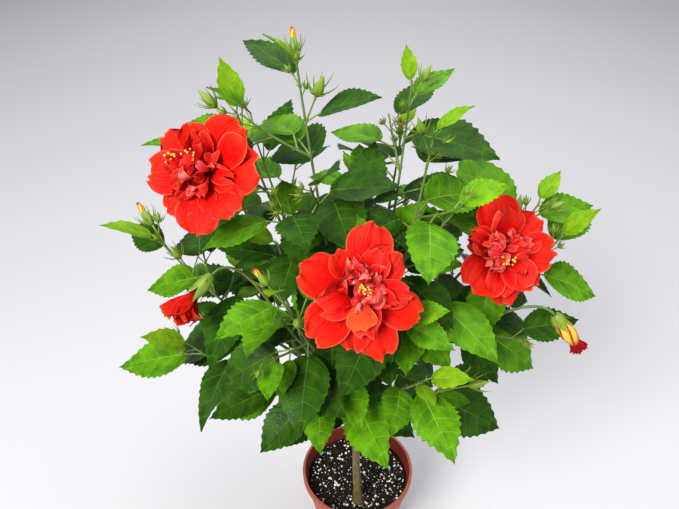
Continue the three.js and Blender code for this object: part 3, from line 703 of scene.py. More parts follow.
def bark_finish():
    finish = Finish("young bark")
    where = finish.place()
    cloud = finish.noise(where, 70, 4, 0.6)
    streaks = finish.noise(finish.place(700, 700, 90), 1.0, 4, 0.6)
    pores = finish.cells(finish.place(420, 420, 700), 1.0)
    old_bark_and_leaf_shade = finish.blend((0.05, 0.042, 0.014), (0.19, 0.145, 0.045), streaks.between(0.3, 0.7))
    young = finish.blend((0.1, 0.145, 0.025), (0.2, 0.22, 0.055), streaks)
    age = finish.part(where, "Z") + (cloud - 0.5) * 0.06
    colour = finish.blend(old_bark_and_leaf_shade, young, age.between(0.36, 0.46))
    pore = (1 - pores.between(0.1, 0.22)) * cloud
    colour = finish.blend(colour, (0.33, 0.27, 0.17), pore * 0.6)
    return finish.wear(
        Base_Color=colour,
        Roughness=0.75 - streaks * 0.15,
        Normal=finish.bump(streaks + cloud * 0.6, 0.0006, 0.8),
    )


BOUGH_NODES = ["bough_" + name for name in limbs if name != "trunk"]
settle(wood.piece(), "bark_skin", bark_finish(), ["trunk", *BOUGH_NODES])

# ------------------------------------------------------------------ how the foliage grows
# Each bough runs on as a leafy stem with buds and side shoots in its leaf axils. Leaves
# stand a golden turn apart, and one that would meet something is swung aside or left out.
# This repeats the frame's rule, and then goes on to finer leaves within the same reach.
STALK_SKIPPED = 0.3  # of a stalk, which may start inside what bears it
LEAF_LENGTH, YOUNG_SHARE, TOP_SHARE = 98, 0.46, 0.86
LEAF_WIDTH, YOUNG_WIDTH = 0.7, 0.5
LEAF_THICK, LEAF_FOLD, LEAF_CURL = 0.02, 0.2, 0.14
LEAF_SPACING, LOW_SPACING, GROWN_AT, LEAF_STALK, YOUNG_STALK = 24, 36, 2.5, 32, 7
LEAF_TURN = math.radians(137.5)
LEAFY = 0.94  # the share of a twig that bears leaves
LEAF_ROOM = 1.2
SWINGS = (0, 0.45, -0.45, 0.9, -0.9, 1.5, -1.5)
EXTRA_SIZE, INNER_REACH = 0.72, 0.55  # of finer leaves: their size, and how far out they go
EXTRA_TURN, END_LEAF_AGE = 1.2, 0.45
SHOOT_LENGTH, SHOOT_ROOM, SHOOT_STEP, SHOOT_LEAN, SHOOT_LIFT = 70, 4, 1.05, 0.95, 0.16
FIRST_SHOOT = 3  # the first of a stem's leaves that has a shoot in its axil
BUD_LENGTH, BUD_RADIUS, BUD_STALK = 21, 4.6, 34
TRIES = 6
VIEWER = Vector((0, -600, 950))  # blooms are free of leaves on this side
OUTLOOK_REACH, OUTLOOK_SHARE = 130, 0.38


class Solid:
    """A closed low shape that others keep clear of, and its box."""

    def __init__(self, points, faces):
        self.low = Vector([min(p[k] for p in points) for k in range(3)])
        self.high = Vector([max(p[k] for p in points) for k in range(3)])
        self.tree = BVHTree.FromPolygons([tuple(p) for p in points], faces, all_triangles=True)

    def near(self, other):
        return all(
            self.low[k] <= other.high[k] and self.high[k] >= other.low[k] for k in range(3)
        )


solids, outlooks = [], []


def fill(*shapes):
    solids.extend(Solid(*shape) for shape in shapes)


def is_clear(points, faces):
    candidate = Solid(points, faces)
    for start, end, radius in outlooks:
        way = (end - start).normalized()
        for point in points:
            along = (point - start).dot(way)
            if 0 < along < (end - start).length and (point - start - way * along).length < radius:
                return False
    return not any(other.near(candidate) and other.tree.overlap(candidate.tree) for other in solids)


def in_head(point, share=1.0):
    reach = math.hypot(point.x - HEAD_X, point.y - HEAD_Y)
    foot = HEAD_FOOT + max(0, FRONT_FROM - point.y) * FRONT_RISE
    climb = max(0, point.z - HEART) / ABOVE
    return point.z > foot and math.hypot(reach / HEAD_RADIUS, climb) < share


def lowness(point):
    return clamp01((TOP_LEAVES - point.z) / (TOP_LEAVES - LOW_LEAVES))


def half_width(t, width):
    return width / 2 * math.sin(math.pi * t**0.7) ** (0.75 + 0.35 * t) if 0 < t < 1 else 0.0


class Twig:
    """A leafy stem or side shoot: its curve from where it begins, its radii and its leaves."""

    def __init__(self, line, begin, radii, seed, size, turn, first_leaf):
        self.line, self.begin, self.radii, self.seed = line, begin, radii, seed
        self.length = line.length() * (1 - begin)
        self.size, self.turn, self.first_leaf = size, turn, first_leaf
        self.spacing = lerp(LEAF_SPACING, LOW_SPACING, lowness(line.at(1))) * size

    def radius_at(self, share):
        return lerp(*self.radii, (share - self.begin) / (1 - self.begin))

    def node(self, k, back, turn, age):
        """Where a leaf springs, so far back from the tip: k, foot, way, turn and age."""
        share = lerp(1, self.begin, back / self.length)
        return k, self.line.at(share), self.line.way(share), turn, clamp01(age)

    def nodes(self):
        """Where its leaves spring, from its tip down."""
        found, k = [], self.first_leaf
        while True:
            back = self.spacing * k * lerp(0.5, 1, clamp01(k / GROWN_AT))
            if back > LEAFY * self.length:
                return found
            found.append(self.node(k, back, self.turn + LEAF_TURN * k, (k + 0.3) / GROWN_AT))
            k += 1

    def finer_nodes(self):
        """Places halfway between the first ones, and at a side shoot's tip."""
        found = [self.node(39, 0, self.turn, END_LEAF_AGE)] if self.first_leaf else []
        for k, _, _, turn, _ in self.nodes():
            back = self.spacing * (k + 0.5)
            if back <= LEAFY * self.length:
                found.append(self.node(k + 40, back, turn + EXTRA_TURN, (k + 0.6) / GROWN_AT))
        return found


class Leaf:
    """One leaf: where its stalk springs, where the blade begins, its axes and sizes."""

    def __init__(self, foot, along, turn, age, size, roll):
        size = size * lerp(TOP_SHARE, 1, lowness(foot))
        way = leaning(along, turn, lerp(0.4, 1.1, age))
        self.foot, self.joint = foot, foot + way * (lerp(YOUNG_STALK, LEAF_STALK, age) * size)
        outward = Vector((self.joint.x - HEAD_X, self.joint.y - HEAD_Y, 0)).normalized()
        hang = 0.1 + 0.75 * lowness(self.joint)
        axis = Vector((way.x, way.y, way.z / 2)) + outward * 0.45
        self.axis = (axis + Vector((0, 0, lerp(0.5, -hang, age)))).normalized()
        light = (self.joint - Vector((HEAD_X, HEAD_Y, HEART))).normalized() * 0.5 + LIGHT
        flat = self.axis.cross(light).normalized()
        normal = flat.cross(self.axis)
        self.side = flat * math.cos(roll) + normal * math.sin(roll)
        self.normal = self.side.cross(self.axis)
        self.length = LEAF_LENGTH * lerp(YOUNG_SHARE, 1, age) * size
        self.width = self.length * lerp(YOUNG_WIDTH, LEAF_WIDTH, age)
        self.age, self.along = age, along

    def surface(self, t, w, spare=0.0):
        half = half_width(t, self.width) + (spare * 2 if 0 < t < 1 else 0)
        return (
            self.joint
            + self.axis * (self.length * t * (1 + spare * 2 / self.length))
            + self.side * (w * half)
            + self.normal * (LEAF_FOLD * abs(w) * half - LEAF_CURL * self.length * t * t)
        )

    def loft(self, spare=LEAF_ROOM):
        """The frame's own plain leaf, for clearance: a stalk and a ridged blade."""
        half = LEAF_THICK * self.length / 2 + spare
        radius = 1 + spare / 2
        way = (self.joint - self.foot).normalized()
        wide = (self.side - way * self.side.dot(way)).normalized()
        down = way.cross(wide)
        points, rings = [], []
        start = self.foot.lerp(self.joint, STALK_SKIPPED) if spare > 0 else self.foot
        for centre in (start, self.joint):
            first = len(points)
            corners = ((-1, -0.6), (1, -0.6), (0, 1))
            points += [centre + wide * (x * radius) + down * (y * radius) for x, y in corners]
            rings.append((first, first + 1, first + 2, None))
        for t in (0.38,) if self.age < 0.6 else (0.2, 0.66):
            first = len(points)
            middle = self.surface(t, 0, spare)
            points += [self.surface(t, -1, spare), self.surface(t, 1, spare)]
            points += [middle - self.normal * half, middle + self.normal * half]
            rings.append((first, first + 1, first + 2, first + 3))
        tip = len(points)
        points.append(self.surface(1, 0, spare))
        rings.append((tip, tip, tip, tip))
        faces = [(rings[0][0], rings[0][2], rings[0][1])]
        for (al, ar, au, at), (bl, br, bu, bt) in zip(rings, rings[1:]):
            faces += [(ar, au, bu), (ar, bu, br), (au, al, bl), (au, bl, bu)]
            if bt is None:
                faces += [(al, ar, br), (al, br, bl)]
            elif at is None:
                faces += [(al, ar, br), (al, br, bt), (al, bt, bl)]
            else:
                faces += [(at, ar, br), (at, br, bt), (at, bt, bl), (at, bl, al)]
        return points, [f for f in faces if len(set(f)) == 3]


def grow_leaves(twig, finer=False):
    for k, foot, along, turn, age in twig.finer_nodes() if finer else twig.nodes():
        draw = draws_from(twig.seed + k * 3 + 1)
        size = twig.size * draw(0.72, 1.14) * (EXTRA_SIZE if finer else 1)
        roll = draw(-0.35, 0.35)
        for swing in SWINGS:
            leaf = Leaf(foot, along, turn + swing, age, size, roll * (1 - abs(swing) / 3))
            inside = in_head(leaf.surface(1, 0), INNER_REACH if finer else 1)
            if inside and is_clear(*leaf.loft()):
                fill(leaf.loft(0))
                leaf.finer = finer
                leaves.append(leaf)
                break


def bud_tubes(foot, way, size, spare=0.0):
    neck = foot + way * (BUD_STALK * size)
    spots = [neck + way * (BUD_LENGTH * size * share) for share in (-0.05, 0.35, 1)]
    radii = [BUD_RADIUS * size * part + spare for part in (0.4, 1, 0.12)]
    start = foot.lerp(neck, STALK_SKIPPED) if spare > 0 else foot
    return [tube(spots, radii, 4), tube([start, neck], [0.9 + spare] * 2, 3)]


def petal_loft(claw, face, turn, lean, length):
    axis = leaning(face, turn, lean)
    side = axis.cross(face).normalized()
    normal = side.cross(axis)

    def surface(t, w, off=0.0):
        half = length * 0.475 * math.sin(math.pi * t**1.5) ** 0.6 if 0 < t < 1 else 0
        cup = 0.1 * length * (abs(w) * 0.6 - t * t)
        return claw + axis * (length * t) + side * (w * half) + normal * cup + normal * off

    points = [surface(0, 0), surface(1, 0)]
    for t in (0.5, 0.88):
        points += [surface(t, -1), surface(t, 1), surface(t, 0, 1.6), surface(t, 0, -1.6)]
    faces = [(0, 3, 4), (0, 4, 2), (0, 5, 3), (0, 2, 5), (4, 3, 7), (4, 7, 8), (4, 8, 6)]
    faces += [(4, 6, 2), (5, 7, 3), (5, 9, 7), (5, 6, 9), (5, 2, 6)]
    faces += [(8, 7, 1), (8, 1, 6), (9, 1, 7), (9, 6, 1)]
    return points, faces


leaves, buds, twigs = [], [], []
fill(*(tube_along(limb, 0, limb.ends, limb.steps, limb.sides) for limb in limbs.values()))
BOSS_POINTS, BOSS_FACES = icosahedron()
BOSS_RADIUS = 27
for bloom in blooms:
    middle, way = bloom.middle, bloom.way
    fill(tube_along(limbs[bloom.name], limbs[bloom.name].ends, 1, 3, 3))
    neck = bloom.calyx.lerp(bloom.throat, 0.35)
    fill(tube([bloom.calyx - way * 2, neck, bloom.throat], [2.2, 6, 7.2], 6))
    for i in range(0 if bloom.furled else 5):
        turn, lean = 2 * math.pi * i / 5 + bloom.seed, math.radians(bloom.opened)
        fill(petal_loft(bloom.claws, way, turn, lean, bloom.spread / 2))
    if bloom.open:
        fill(([middle + Vector(p) * BOSS_RADIUS for p in BOSS_POINTS], BOSS_FACES))
    else:
        mouth = middle + way * (bloom.spread * (0.2 if bloom.furled else 0.06))
        fill(tube([bloom.claws, middle, mouth], [8, 10.5, 6], 6))

stems = {}
for name, _, _, _, _, _, seed, _ in MASSES:
    limb = limbs[name]
    radii, turn = (limb.radius_at(limb.ends), 1), math.radians(seed * 80)
    stems[name] = Twig(limb.line, limb.ends, radii, seed * 1000, 1, turn, 0)
    fill(tube_along(stems[name], limb.ends, 1, 4, 3))
twigs.extend(stems.values())

shoots = {name: [] for name in stems}
for name, _, _, _, _, _, seed, bud_count in MASSES:
    nodes = stems[name].nodes()
    for k, foot, along, turn, _ in nodes[1 : bud_count + 1]:
        draw = draws_from(seed * 1000 + 700 + k)
        size = draw(0.8, 1.15)
        for tried in range(TRIES):
            way = leaning(along, turn + 0.5 + tried, draw(0.35, 0.6))
            if all(is_clear(*part) for part in bud_tubes(foot, way, size, 1.5)):
                fill(*bud_tubes(foot, way, size))
                buds.append((foot, way, size, seed * 10 + k))
                break
    for k, foot, along, turn, _ in nodes[FIRST_SHOOT::2]:
        draw = draws_from(seed * 1000 + 500 + k)
        length = SHOOT_LENGTH * draw(0.75, 1.25)
        first_turn = draw(0, 2 * math.pi)
        for tried in range(TRIES):
            way = leaning(along, turn + 0.4 + tried * SHOOT_STEP, SHOOT_LEAN)
            bend = foot + way * (length * 0.6)
            tip = foot + way * length + Vector((0, 0, length * SHOOT_LIFT))
            room = tube([foot.lerp(bend, STALK_SKIPPED), bend, tip], [SHOOT_ROOM] * 3, 3)
            if in_head(tip) and tip.z >= HEAD_FOOT + SHOOT_LENGTH and is_clear(*room):
                line = Line(foot, bend, tip)
                shoot = Twig(line, 0, (1.4, 0.9), seed * 1000 + 20 * k, 0.9, first_turn, 1)
                shoots[name].append(shoot)
                twigs.append(shoot)
                fill(tube_along(shoot, 0, 1, 2, 3))
                break

for bloom in blooms:
    sight = (VIEWER - bloom.middle).normalized() * OUTLOOK_REACH
    outlooks.append((bloom.middle, bloom.middle + sight, bloom.spread * OUTLOOK_SHARE))
for name in stems:
    for twig in [stems[name], *shoots[name]]:
        grow_leaves(twig)
for name in stems:
    for twig in [*shoots[name], stems[name]]:
        grow_leaves(twig, finer=True)

# ------------------------------------------------------------------ the green shoots
# Young hibiscus shoots stay green for a year or two and swell a little where each leaf
# joins. They are a little streaked along.
SHOOT_SIDES, SHOOT_RING = 8, 4
BLOOM_STALK_SCARS, BLOOM_STALK_SEED = 40, 7


def green_tube(twig, begin, scars, seed):
    """A green shoot: a tapering tube that swells at its leaf scars."""
    draws = np.random.default_rng(seed)
    length = twig.line.length() * (1 - begin)
    steps = max(5, round(length / SHOOT_RING))
    phase = draws.uniform(0, 1)
    rings = []
    for i in range(steps + 1):
        share, along = lerp(begin, 1, i / steps), length * i / steps
        near = off_scar(along / scars + phase, scars)
        radius = twig.radius_at(share) * (1 + 0.22 * math.exp(-((near / 1.8) ** 2)))
        rings.append((twig.line.at(share), across(twig.line.way(share)), radius, along * MM, None))
    return wrapped(rings, SHOOT_SIDES)


shoot_heap = Heap()
for twig in twigs:
    shoot_heap.put(*green_tube(twig, twig.begin, LEAF_SPACING * twig.size, twig.seed))
for bloom in blooms:
    limb = limbs[bloom.name]
    shoot_heap.put(*green_tube(limb, limb.ends, BLOOM_STALK_SCARS, BLOOM_STALK_SEED))


def shoot_finish(name, dark, light, roughness):
    finish = Finish(name)
    cloud = finish.noise(finish.place(), 60, 3)
    streaks = finish.noise(finish.place(900, 900, 160), 1.0, 3, 0.6)
    colour = finish.blend(dark, light, cloud.between(0.3, 0.7) * 0.6 + streaks * 0.4)
    bump = finish.bump(streaks, 0.0002, 0.5)
    return finish.wear(Base_Color=colour, Roughness=roughness, Normal=bump)


MASS_NODES = ["leaves_" + name for name in stems]
green = shoot_finish("green shoots", (0.055, 0.12, 0.018), (0.17, 0.27, 0.05), 0.5)
settle(shoot_heap.piece(), "green_shoots", green, MASS_NODES)

# ------------------------------------------------------------------ the leaves
# Thick glossy blades, egg-shaped with a drawn-out tip and toothed margins. The lowest veins
# fan from the stalk, a few more leave the midrib, and the blade is quilted between them.
# Grown leaves are one green painted darker deep in the head and lighter at its side, top and
# front, as painted shade and painted light. The newest at the tips are yellow-green.
SLANT = 0.28  # how far forward along the blade a side vein runs
GROWN_ROWS, YOUNG_ROWS = 24, 12  # two for each tooth
SIDE_VEINS = 8  # on each side, three of them from the stalk
TOOTH, NOTCH, TOOTH_FORWARD, NOTCH_BACK = 0.05, 0.035, 0.012, 0.004
LOBE, LOBE_LENGTH = 0.045, 0.12  # how far the blade reaches back beside its stalk
COLUMNS = (-1, -0.52, 0, 0.52, 1)
QUILT, VEIN_QUILT = 0.008, 0.1  # its height, and the share of it on veins and rim
UNDER_DEPTH = 0.8  # how thick a blade is
# how wavy a blade is, how far it tips about its stalk and its share of its full size: the
# first stance that is clear is taken
STANCES = [(1, 0, 1), (0.5, 0, 1), (0.5, 0.08, 1), (0.5, -0.08, 1), (0.2, 0.16, 1), (0.2, -0.16, 1)]
FLAT_TIPS, FLAT_SHARES = (0, 0.26, -0.26, 0.45, -0.45), (1, 0.86, 0.72, 0.6)
STANCES += [(0, tip, share) for share in FLAT_SHARES for tip in FLAT_TIPS]
FLAT_CUP = 1.45  # the fold of a blade with no wave
YOUNG_UNDER, SHADED_UNDER, HALF_LIT_UNDER = 0.4, 0.42, 0.66  # of a leaf's age, or of its light


def blade(leaf, rows, under):
    """One face of a blade, row by row along its side veins. The two faces meet at the rim."""
    row = np.arange(rows + 1)
    margin = (row / rows) ** 1.3
    midrib = np.maximum((margin - SLANT) / (1 - SLANT), 0.03 * margin / SLANT)
    toothed = ((row > 1) & (row < rows)) * leaf.toothed
    tooth = np.where(row % 2 == 0, TOOTH, -NOTCH) * toothed
    forward = np.where(row % 2 == 0, TOOTH_FORWARD, -NOTCH_BACK) * toothed
    lobe = -LOBE * np.maximum(0, 1 - margin / LOBE_LENGTH)
    puff = -np.cos(2 * np.pi * row * SIDE_VEINS / rows)
    quilt = puff * np.sin(np.pi * np.clip(margin * 1.05, 0, 1)) * leaf.length * QUILT
    wavy, tip, share = leaf.stance
    phase, wave, twist, cup = leaf.wave
    wave, twist, cup = wave * wavy, twist * wavy, lerp(FLAT_CUP, cup, wavy)
    axis = leaf.axis * math.cos(tip) + leaf.normal * math.sin(tip)
    normal = leaf.normal * math.cos(tip) - leaf.axis * math.sin(tip)
    length = leaf.length * share
    half = np.array([max(half_width(t, leaf.width), 0.25) for t in margin]) * share
    points, spots = [], []
    for column in COLUMNS:
        w = abs(column)
        t = midrib + (margin - midrib) * w**1.25 + (forward + lobe) * (w == 1)
        x = w * half * (1 + tooth * (w == 1))
        rise = LEAF_FOLD * x * (cup - 0.45 * w) - LEAF_CURL * length * t * np.abs(t)
        rise += quilt * (1 if 0 < w < 1 else VEIN_QUILT)
        rise += wave * length * w**2 * np.sin(9 * margin + phase + (1.4 if column < 0 else 0))
        rise -= UNDER_DEPTH * (1 - w**2) ** 0.5 * under
        rise += np.sin(twist * t * np.sign(column)) * x
        points.append(
            np.array(leaf.joint)
            + np.outer(length * t, axis)
            + np.outer(np.sign(column) * x, leaf.side)
            + np.outer(rise, normal)
        )
        up = 0.01 + 0.98 * row / rows
        spots.append(np.column_stack([np.full(rows + 1, 0.5 + 0.49 * column), up]))
    faces = [
        triangle[:: -1 if under else 1]
        for a, b, c, d in grid(rows + 1, len(COLUMNS), outward=False)
        for triangle in ((a, b, c), (a, c, d))
    ]
    points, spots = np.stack(points, axis=1), np.stack(spots, axis=1)
    return points.reshape(-1, 3), faces, spots.reshape(-1, 2)


def surface_tree(shapes):
    """One search tree for the faces of several shapes."""
    points, faces = [], []
    for shape_points, shape_faces, *_ in shapes:
        faces += [[corner + len(points) for corner in face] for face in shape_faces]
        points += [tuple(p) for p in shape_points]
    return BVHTree.FromPolygons(points, faces)


def stand_clear(leaf, rows, standing):
    """Settle a blade's stance among what stands, and say how many faces it still cuts."""
    fewest = None
    for stance in STANCES:
        leaf.stance = stance
        tree = surface_tree([blade(leaf, rows, False), blade(leaf, rows, True)])
        cut = sum(len(tree.overlap(other)) for other in standing)
        if fewest is None or cut < fewest[0]:
            fewest = cut, stance, tree
        if not cut:
            break
    leaf.stance = fewest[1]
    return fewest[0], fewest[2]


def light_on(leaf):
    """How bright a leaf is: more at the head's side, its top and its front."""
    out = math.hypot(leaf.joint.x - HEAD_X, leaf.joint.y - HEAD_Y) / HEAD_RADIUS
    light = 0.4 * out + 0.58 * (leaf.joint.z - HEAD_FOOT) / (HEART + ABOVE - HEAD_FOOT)
    return light + (0.26 * (HEAD_Y - leaf.joint.y) / HEAD_RADIUS + leaf_draws.uniform(-0.22, 0.22))


standing = [surface_tree(zip(shoot_heap.points, [f - f.min() for f in shoot_heap.faces]))]
standing += [surface_tree(bud_tubes(foot, way, size)) for foot, way, size, _ in buds]
shown_leaves = []
leaf_draws = np.random.default_rng(17)
tops = {name: Heap() for name in ("young", "bright", "grown", "old_bark_and_leaf_shade")}
unders = {name: Heap() for name in ("young", "grown")}
for leaf in leaves:
    leaf.toothed = leaf_draws.uniform(0.75, 1.25) * (1.3 if leaf.age < 0.6 else 1)
    # the phase and height of its wave, its twist and its cup
    reaches = ((0, 6.3), (0.006, 0.022), (-0.3, 0.3), (0.9, 1.6))
    leaf.wave = [leaf_draws.uniform(*reach) for reach in reaches]
    # A grown leaf's tone is picked by its light, not its age: the darkest tone is painted shade,
    # the lightest painted light.
    light, young = light_on(leaf), leaf.age < YOUNG_UNDER
    grown = "old_bark_and_leaf_shade" if light < SHADED_UNDER else "grown" if light < HALF_LIT_UNDER else "bright"
    rows = YOUNG_ROWS if young else GROWN_ROWS
    cut, tree = stand_clear(leaf, rows, standing)
    if cut and leaf.finer:
        continue
    standing.append(tree)
    shown_leaves.append(leaf)
    tops["young" if young else grown].put(*blade(leaf, rows, False))
    unders["young" if young else "grown"].put(*blade(leaf, rows, True))


def leaf_finish(name, dark, light, vein, gloss):
    """A blade's colours by its own map: across the midrib, and up from foot to tip."""
    finish = Finish(name)
    where, split, up = finish.own_map()
    out = finish.maths("ABSOLUTE", split * 2 - 1.0)
    from_vein = finish.maths("PINGPONG", up * (SIDE_VEINS * 2), 1.0)
    side_vein = (1 - from_vein.between(0.01, 0.11)) * (1 - out * 0.85)
    veins = finish.maths("MAXIMUM", 1 - out.between(0.014, 0.045), side_vein)
    net = finish.cells(finish.stretch(where, 22, 40, 1), 1.0, feature="DISTANCE_TO_EDGE")
    net_line = 1 - net.between(0.02, 0.16)
    cloud = finish.noise(finish.stretch(where, 2.4, 4, 1), 1.6, 3)
    valley = 1 - from_vein.between(0.0, 0.6)
    colour = finish.blend(dark, light, cloud.between(0.3, 0.7) * 0.82 + valley * 0.18)
    pale = veins * 0.62 + net_line * 0.05 + out.between(0.95, 1.0) * 0.2
    return finish.wear(
        Base_Color=finish.blend(colour, vein, pale),
        Roughness=gloss + cloud * 0.12 + veins * 0.1,
        Specular_IOR_Level=0.13,
        Normal=finish.bump(cloud * 0.4 - veins - net_line * 0.3, 0.0014, 0.8),
    )


# The three tones of grown leaves are one green at three lights, from painted shade to painted
# light; the young tone is the young leaves' own colour.
# dark, light and vein colours, and roughness
LEAF_TONES = {
    "young": ((0.15, 0.36, 0.003), (0.26, 0.5, 0.006), (0.46, 0.64, 0.09), 0.36),
    "bright": ((0.1, 0.31, 0.002), (0.22, 0.5, 0.004), (0.42, 0.66, 0.1), 0.34),
    "grown": ((0.048, 0.18, 0.0005), (0.13, 0.37, 0.002), (0.31, 0.56, 0.06), 0.3),
    "old_bark_and_leaf_shade": ((0.01, 0.045, 0.0004), (0.032, 0.115, 0.001), (0.11, 0.25, 0.03), 0.3),
}
UNDER_TONES = {
    "young": ((0.22, 0.36, 0.04), (0.34, 0.48, 0.07), (0.5, 0.6, 0.18), 0.5),
    "grown": ((0.1, 0.22, 0.02), (0.17, 0.32, 0.035), (0.34, 0.48, 0.11), 0.5),
}
for kind, heap in tops.items():
    finish = leaf_finish(f"{kind} leaves", *LEAF_TONES[kind])
    settle(heap.piece(), "blades_" + kind, finish, MASS_NODES)
for kind, heap in unders.items():
    finish = leaf_finish(f"{kind} undersides", *UNDER_TONES[kind])
    settle(heap.piece(), "undersides_" + kind, finish, MASS_NODES)

# A stalk for every leaf that is there, a little arched, and thicker at both its ends.
STALK_SHAPE = (1.5, 1, 0.9, 0.9, 0.95, 1.2)
stalk_heap = Heap()
for leaf in shown_leaves:
    span = leaf.joint - leaf.foot
    bend = leaf.foot + span * 0.5 + leaf.normal * (span.length * 0.06)
    radii = [(0.62 + 0.38 * leaf.age) * part for part in STALK_SHAPE]
    spots = Line(leaf.foot, bend, leaf.joint).spots(5)
    stalk_heap.put(*tube(spots, radii, 6, closed=False))
pale_green = shoot_finish("leaf stalks", (0.13, 0.24, 0.035), (0.26, 0.36, 0.075), 0.45)
settle(stalk_heap.piece(), "leaf_stalks", pale_green, MASS_NODES)

# ------------------------------------------------------------------ the flower buds
# Each bud is a five-ribbed green calyx, pointed like a flame, on a thin stalk. A whorl of
# eight thread-like bracts curls out from under it.
BRACTS, BRACT_LENGTH = 8, 17
BRACT_SHAPE = (1, 1, 0.85, 0.6, 0.15)
BUD_OUTLINE = ((-0.06, 0.3), (0, 0.62), (0.1, 0.9), (0.25, 1), (0.42, 0.93), (0.6, 0.7))
BUD_OUTLINE += ((0.78, 0.42), (0.92, 0.2), (1.02, 0.04))
BUD_STALK_SHAPE = (1.1, 0.85, 0.8, 0.85, 1.3)
RIBS, RIB_SIDES = 5, 20
# how a furled flower's silhouette runs from calyx to tip, and how far its petals wind
FURLED_OUTLINE = ((0, 0.5), (0.15, 0.78), (0.35, 0.98), (0.55, 1), (0.75, 0.8), (0.9, 0.56))
FURLED_OUTLINE += ((1, 0.3),)
FURLED_WIND, FURLED_SIDES = 1.1, 30
SHOWING = (3, 5)  # of every seven buds, the ones that show the tip of their petals
SMALL_BUDS, SMALL_ROOM = 3, 0.8  # tried on each twig
BARE_HEART = 0.6  # the share of the head that has no small buds


def ribbed(foot, way, outline, long, wide, depth):
    """A five-ribbed body along a way, by an outline of shares of its length and radius."""
    axes, last = across(way), len(outline) - 1
    rings = [
        (foot + way * (long * s), axes, wide * r, i / last, None)
        for i, (s, r) in enumerate(outline)
    ]
    return wrapped(rings, RIB_SIDES, lambda k, angle, _: 1 + depth * math.cos(RIBS * angle))


def thread(heap, spots, radii, sides=4):
    """A thin open tube of four-cornered faces."""
    points, _ = tube(spots, radii, sides, closed=False)
    faces = []
    for a in range(0, (len(spots) - 1) * sides, sides):
        for k in range(sides):
            after = (k + 1) % sides
            faces.append((a + k, a + sides + k, a + sides + after, a + after))
    heap.put(points, faces)


def whorl(heap, centre, way, radius, length, spread, lift, seed):
    """Thread-like bracts that leave a calyx's foot and curl up round it."""
    draws = np.random.default_rng(seed)
    for i in range(BRACTS):
        turn = 2 * math.pi * (i + draws.uniform(-0.2, 0.2)) / BRACTS
        out = leaning(way, turn, spread + draws.uniform(-0.15, 0.15))
        span = length * draws.uniform(0.8, 1.15)
        tip = centre + out * (span * 0.8) + way * (span * lift)
        spots = Line(centre, centre + out * (span * 0.55), tip).spots(4)
        thread(heap, spots, [radius * part for part in BRACT_SHAPE])


def furled(heap, start, end, radius):
    """Five petals wound about one another, with a step where each wraps over the next."""
    axes = across((end - start).normalized())
    rings = [
        (start.lerp(end, s), axes, radius * wide, 0.01 + 0.98 * s, s) for s, wide in FURLED_OUTLINE
    ]

    def relief(k, _, s):
        return 0.9 + 0.18 * ((5 * k / FURLED_SIDES + FURLED_WIND * s) % 1)

    heap.put(*wrapped(rings, FURLED_SIDES, relief))


# Small green buds stand on short stalks among the youngest leaves of the outer twigs.
small_draws = np.random.default_rng(23)
for twig in twigs:
    for k in range(SMALL_BUDS):
        share = lerp(1, twig.begin, (3 + 10 * k) / twig.length)
        size, turn = small_draws.uniform(0.36, 0.62), small_draws.uniform(0, 2 * math.pi)
        foot, along = twig.line.at(share), twig.line.way(share)
        way = leaning(along, turn, small_draws.uniform(0.35, 0.8))
        end = foot + way * ((BUD_STALK + BUD_LENGTH) * size)
        room = bud_tubes(foot, way, size, SMALL_ROOM)
        stalk = surface_tree(room[1:])
        clear = all(is_clear(*part) for part in room)
        clear = clear and not any(stalk.overlap(other) for other in standing[1:])
        if in_head(end) and not in_head(end, BARE_HEART) and clear:
            fill(*bud_tubes(foot, way, size))
            buds.append((foot, way, size, twig.seed + 70 + k))

calyx_heap, bract_heap, furled_heap = Heap(), Heap(), Heap()
for i, (foot, way, size, seed) in enumerate(buds):
    neck = foot + way * (BUD_STALK * size)
    long, wide = BUD_LENGTH * size, BUD_RADIUS * size
    calyx_heap.put(*ribbed(neck, way, BUD_OUTLINE, long, wide, 0.07))
    if i % 7 in SHOWING and size > 0.65:
        start, end = neck + way * (long * 0.55), neck + way * (long * 1.18)
        furled(furled_heap, start, end, wide * 0.66)
    radii = [part * lerp(0.5, 1, size) for part in BUD_STALK_SHAPE]
    thread(bract_heap, [foot.lerp(neck, j / 4) for j in range(5)], radii, 6)
    whorl(bract_heap, neck, way, 0.8, BRACT_LENGTH * size, 1.2, 0.7, seed)
# Every leaf stalk springs from between two short stipules.
for leaf in shown_leaves:
    side = leaf.along.cross(leaf.joint - leaf.foot).normalized()
    for hand in (-1, 1):
        tip = leaf.foot + leaf.along * 6 + side * (hand * 4)
        thread(bract_heap, [leaf.foot.lerp(tip, j / 2) for j in range(3)], [0.7, 0.5, 0.1])


def calyx_finish():
    finish = Finish("calyces")
    _, turn, up = finish.own_map()
    rib = finish.maths("PINGPONG", turn * 10.0, 1.0)
    colour = finish.blend((0.1, 0.2, 0.01), (0.26, 0.4, 0.03), rib * 0.5 + up * 0.5)
    return finish.wear(Base_Color=colour, Roughness=0.5, Normal=finish.bump(rib, 0.0004, 0.5))


# ------------------------------------------------------------------ the blooms
# Double blooms the width of a hand: broad round petals stand apart in an outer ring, each
# its own size, with narrower ones curled up inside them. The heart is a tuft of crumpled
# pinkish petals, and short threads carry clusters of yellow anthers out of it.
PETAL_ROWS, PETAL_COLUMNS = 14, 12
CLAW_WIDTH, BROAD_FROM, ROUND_FROM = 0.14, 0.74, 0.68  # shares of a petal's width and length
PETAL_VARIES = ((1.1, 1.9), (-0.12, 0.12), (-0.25, 0.25))  # waves on its rim, skew and roll
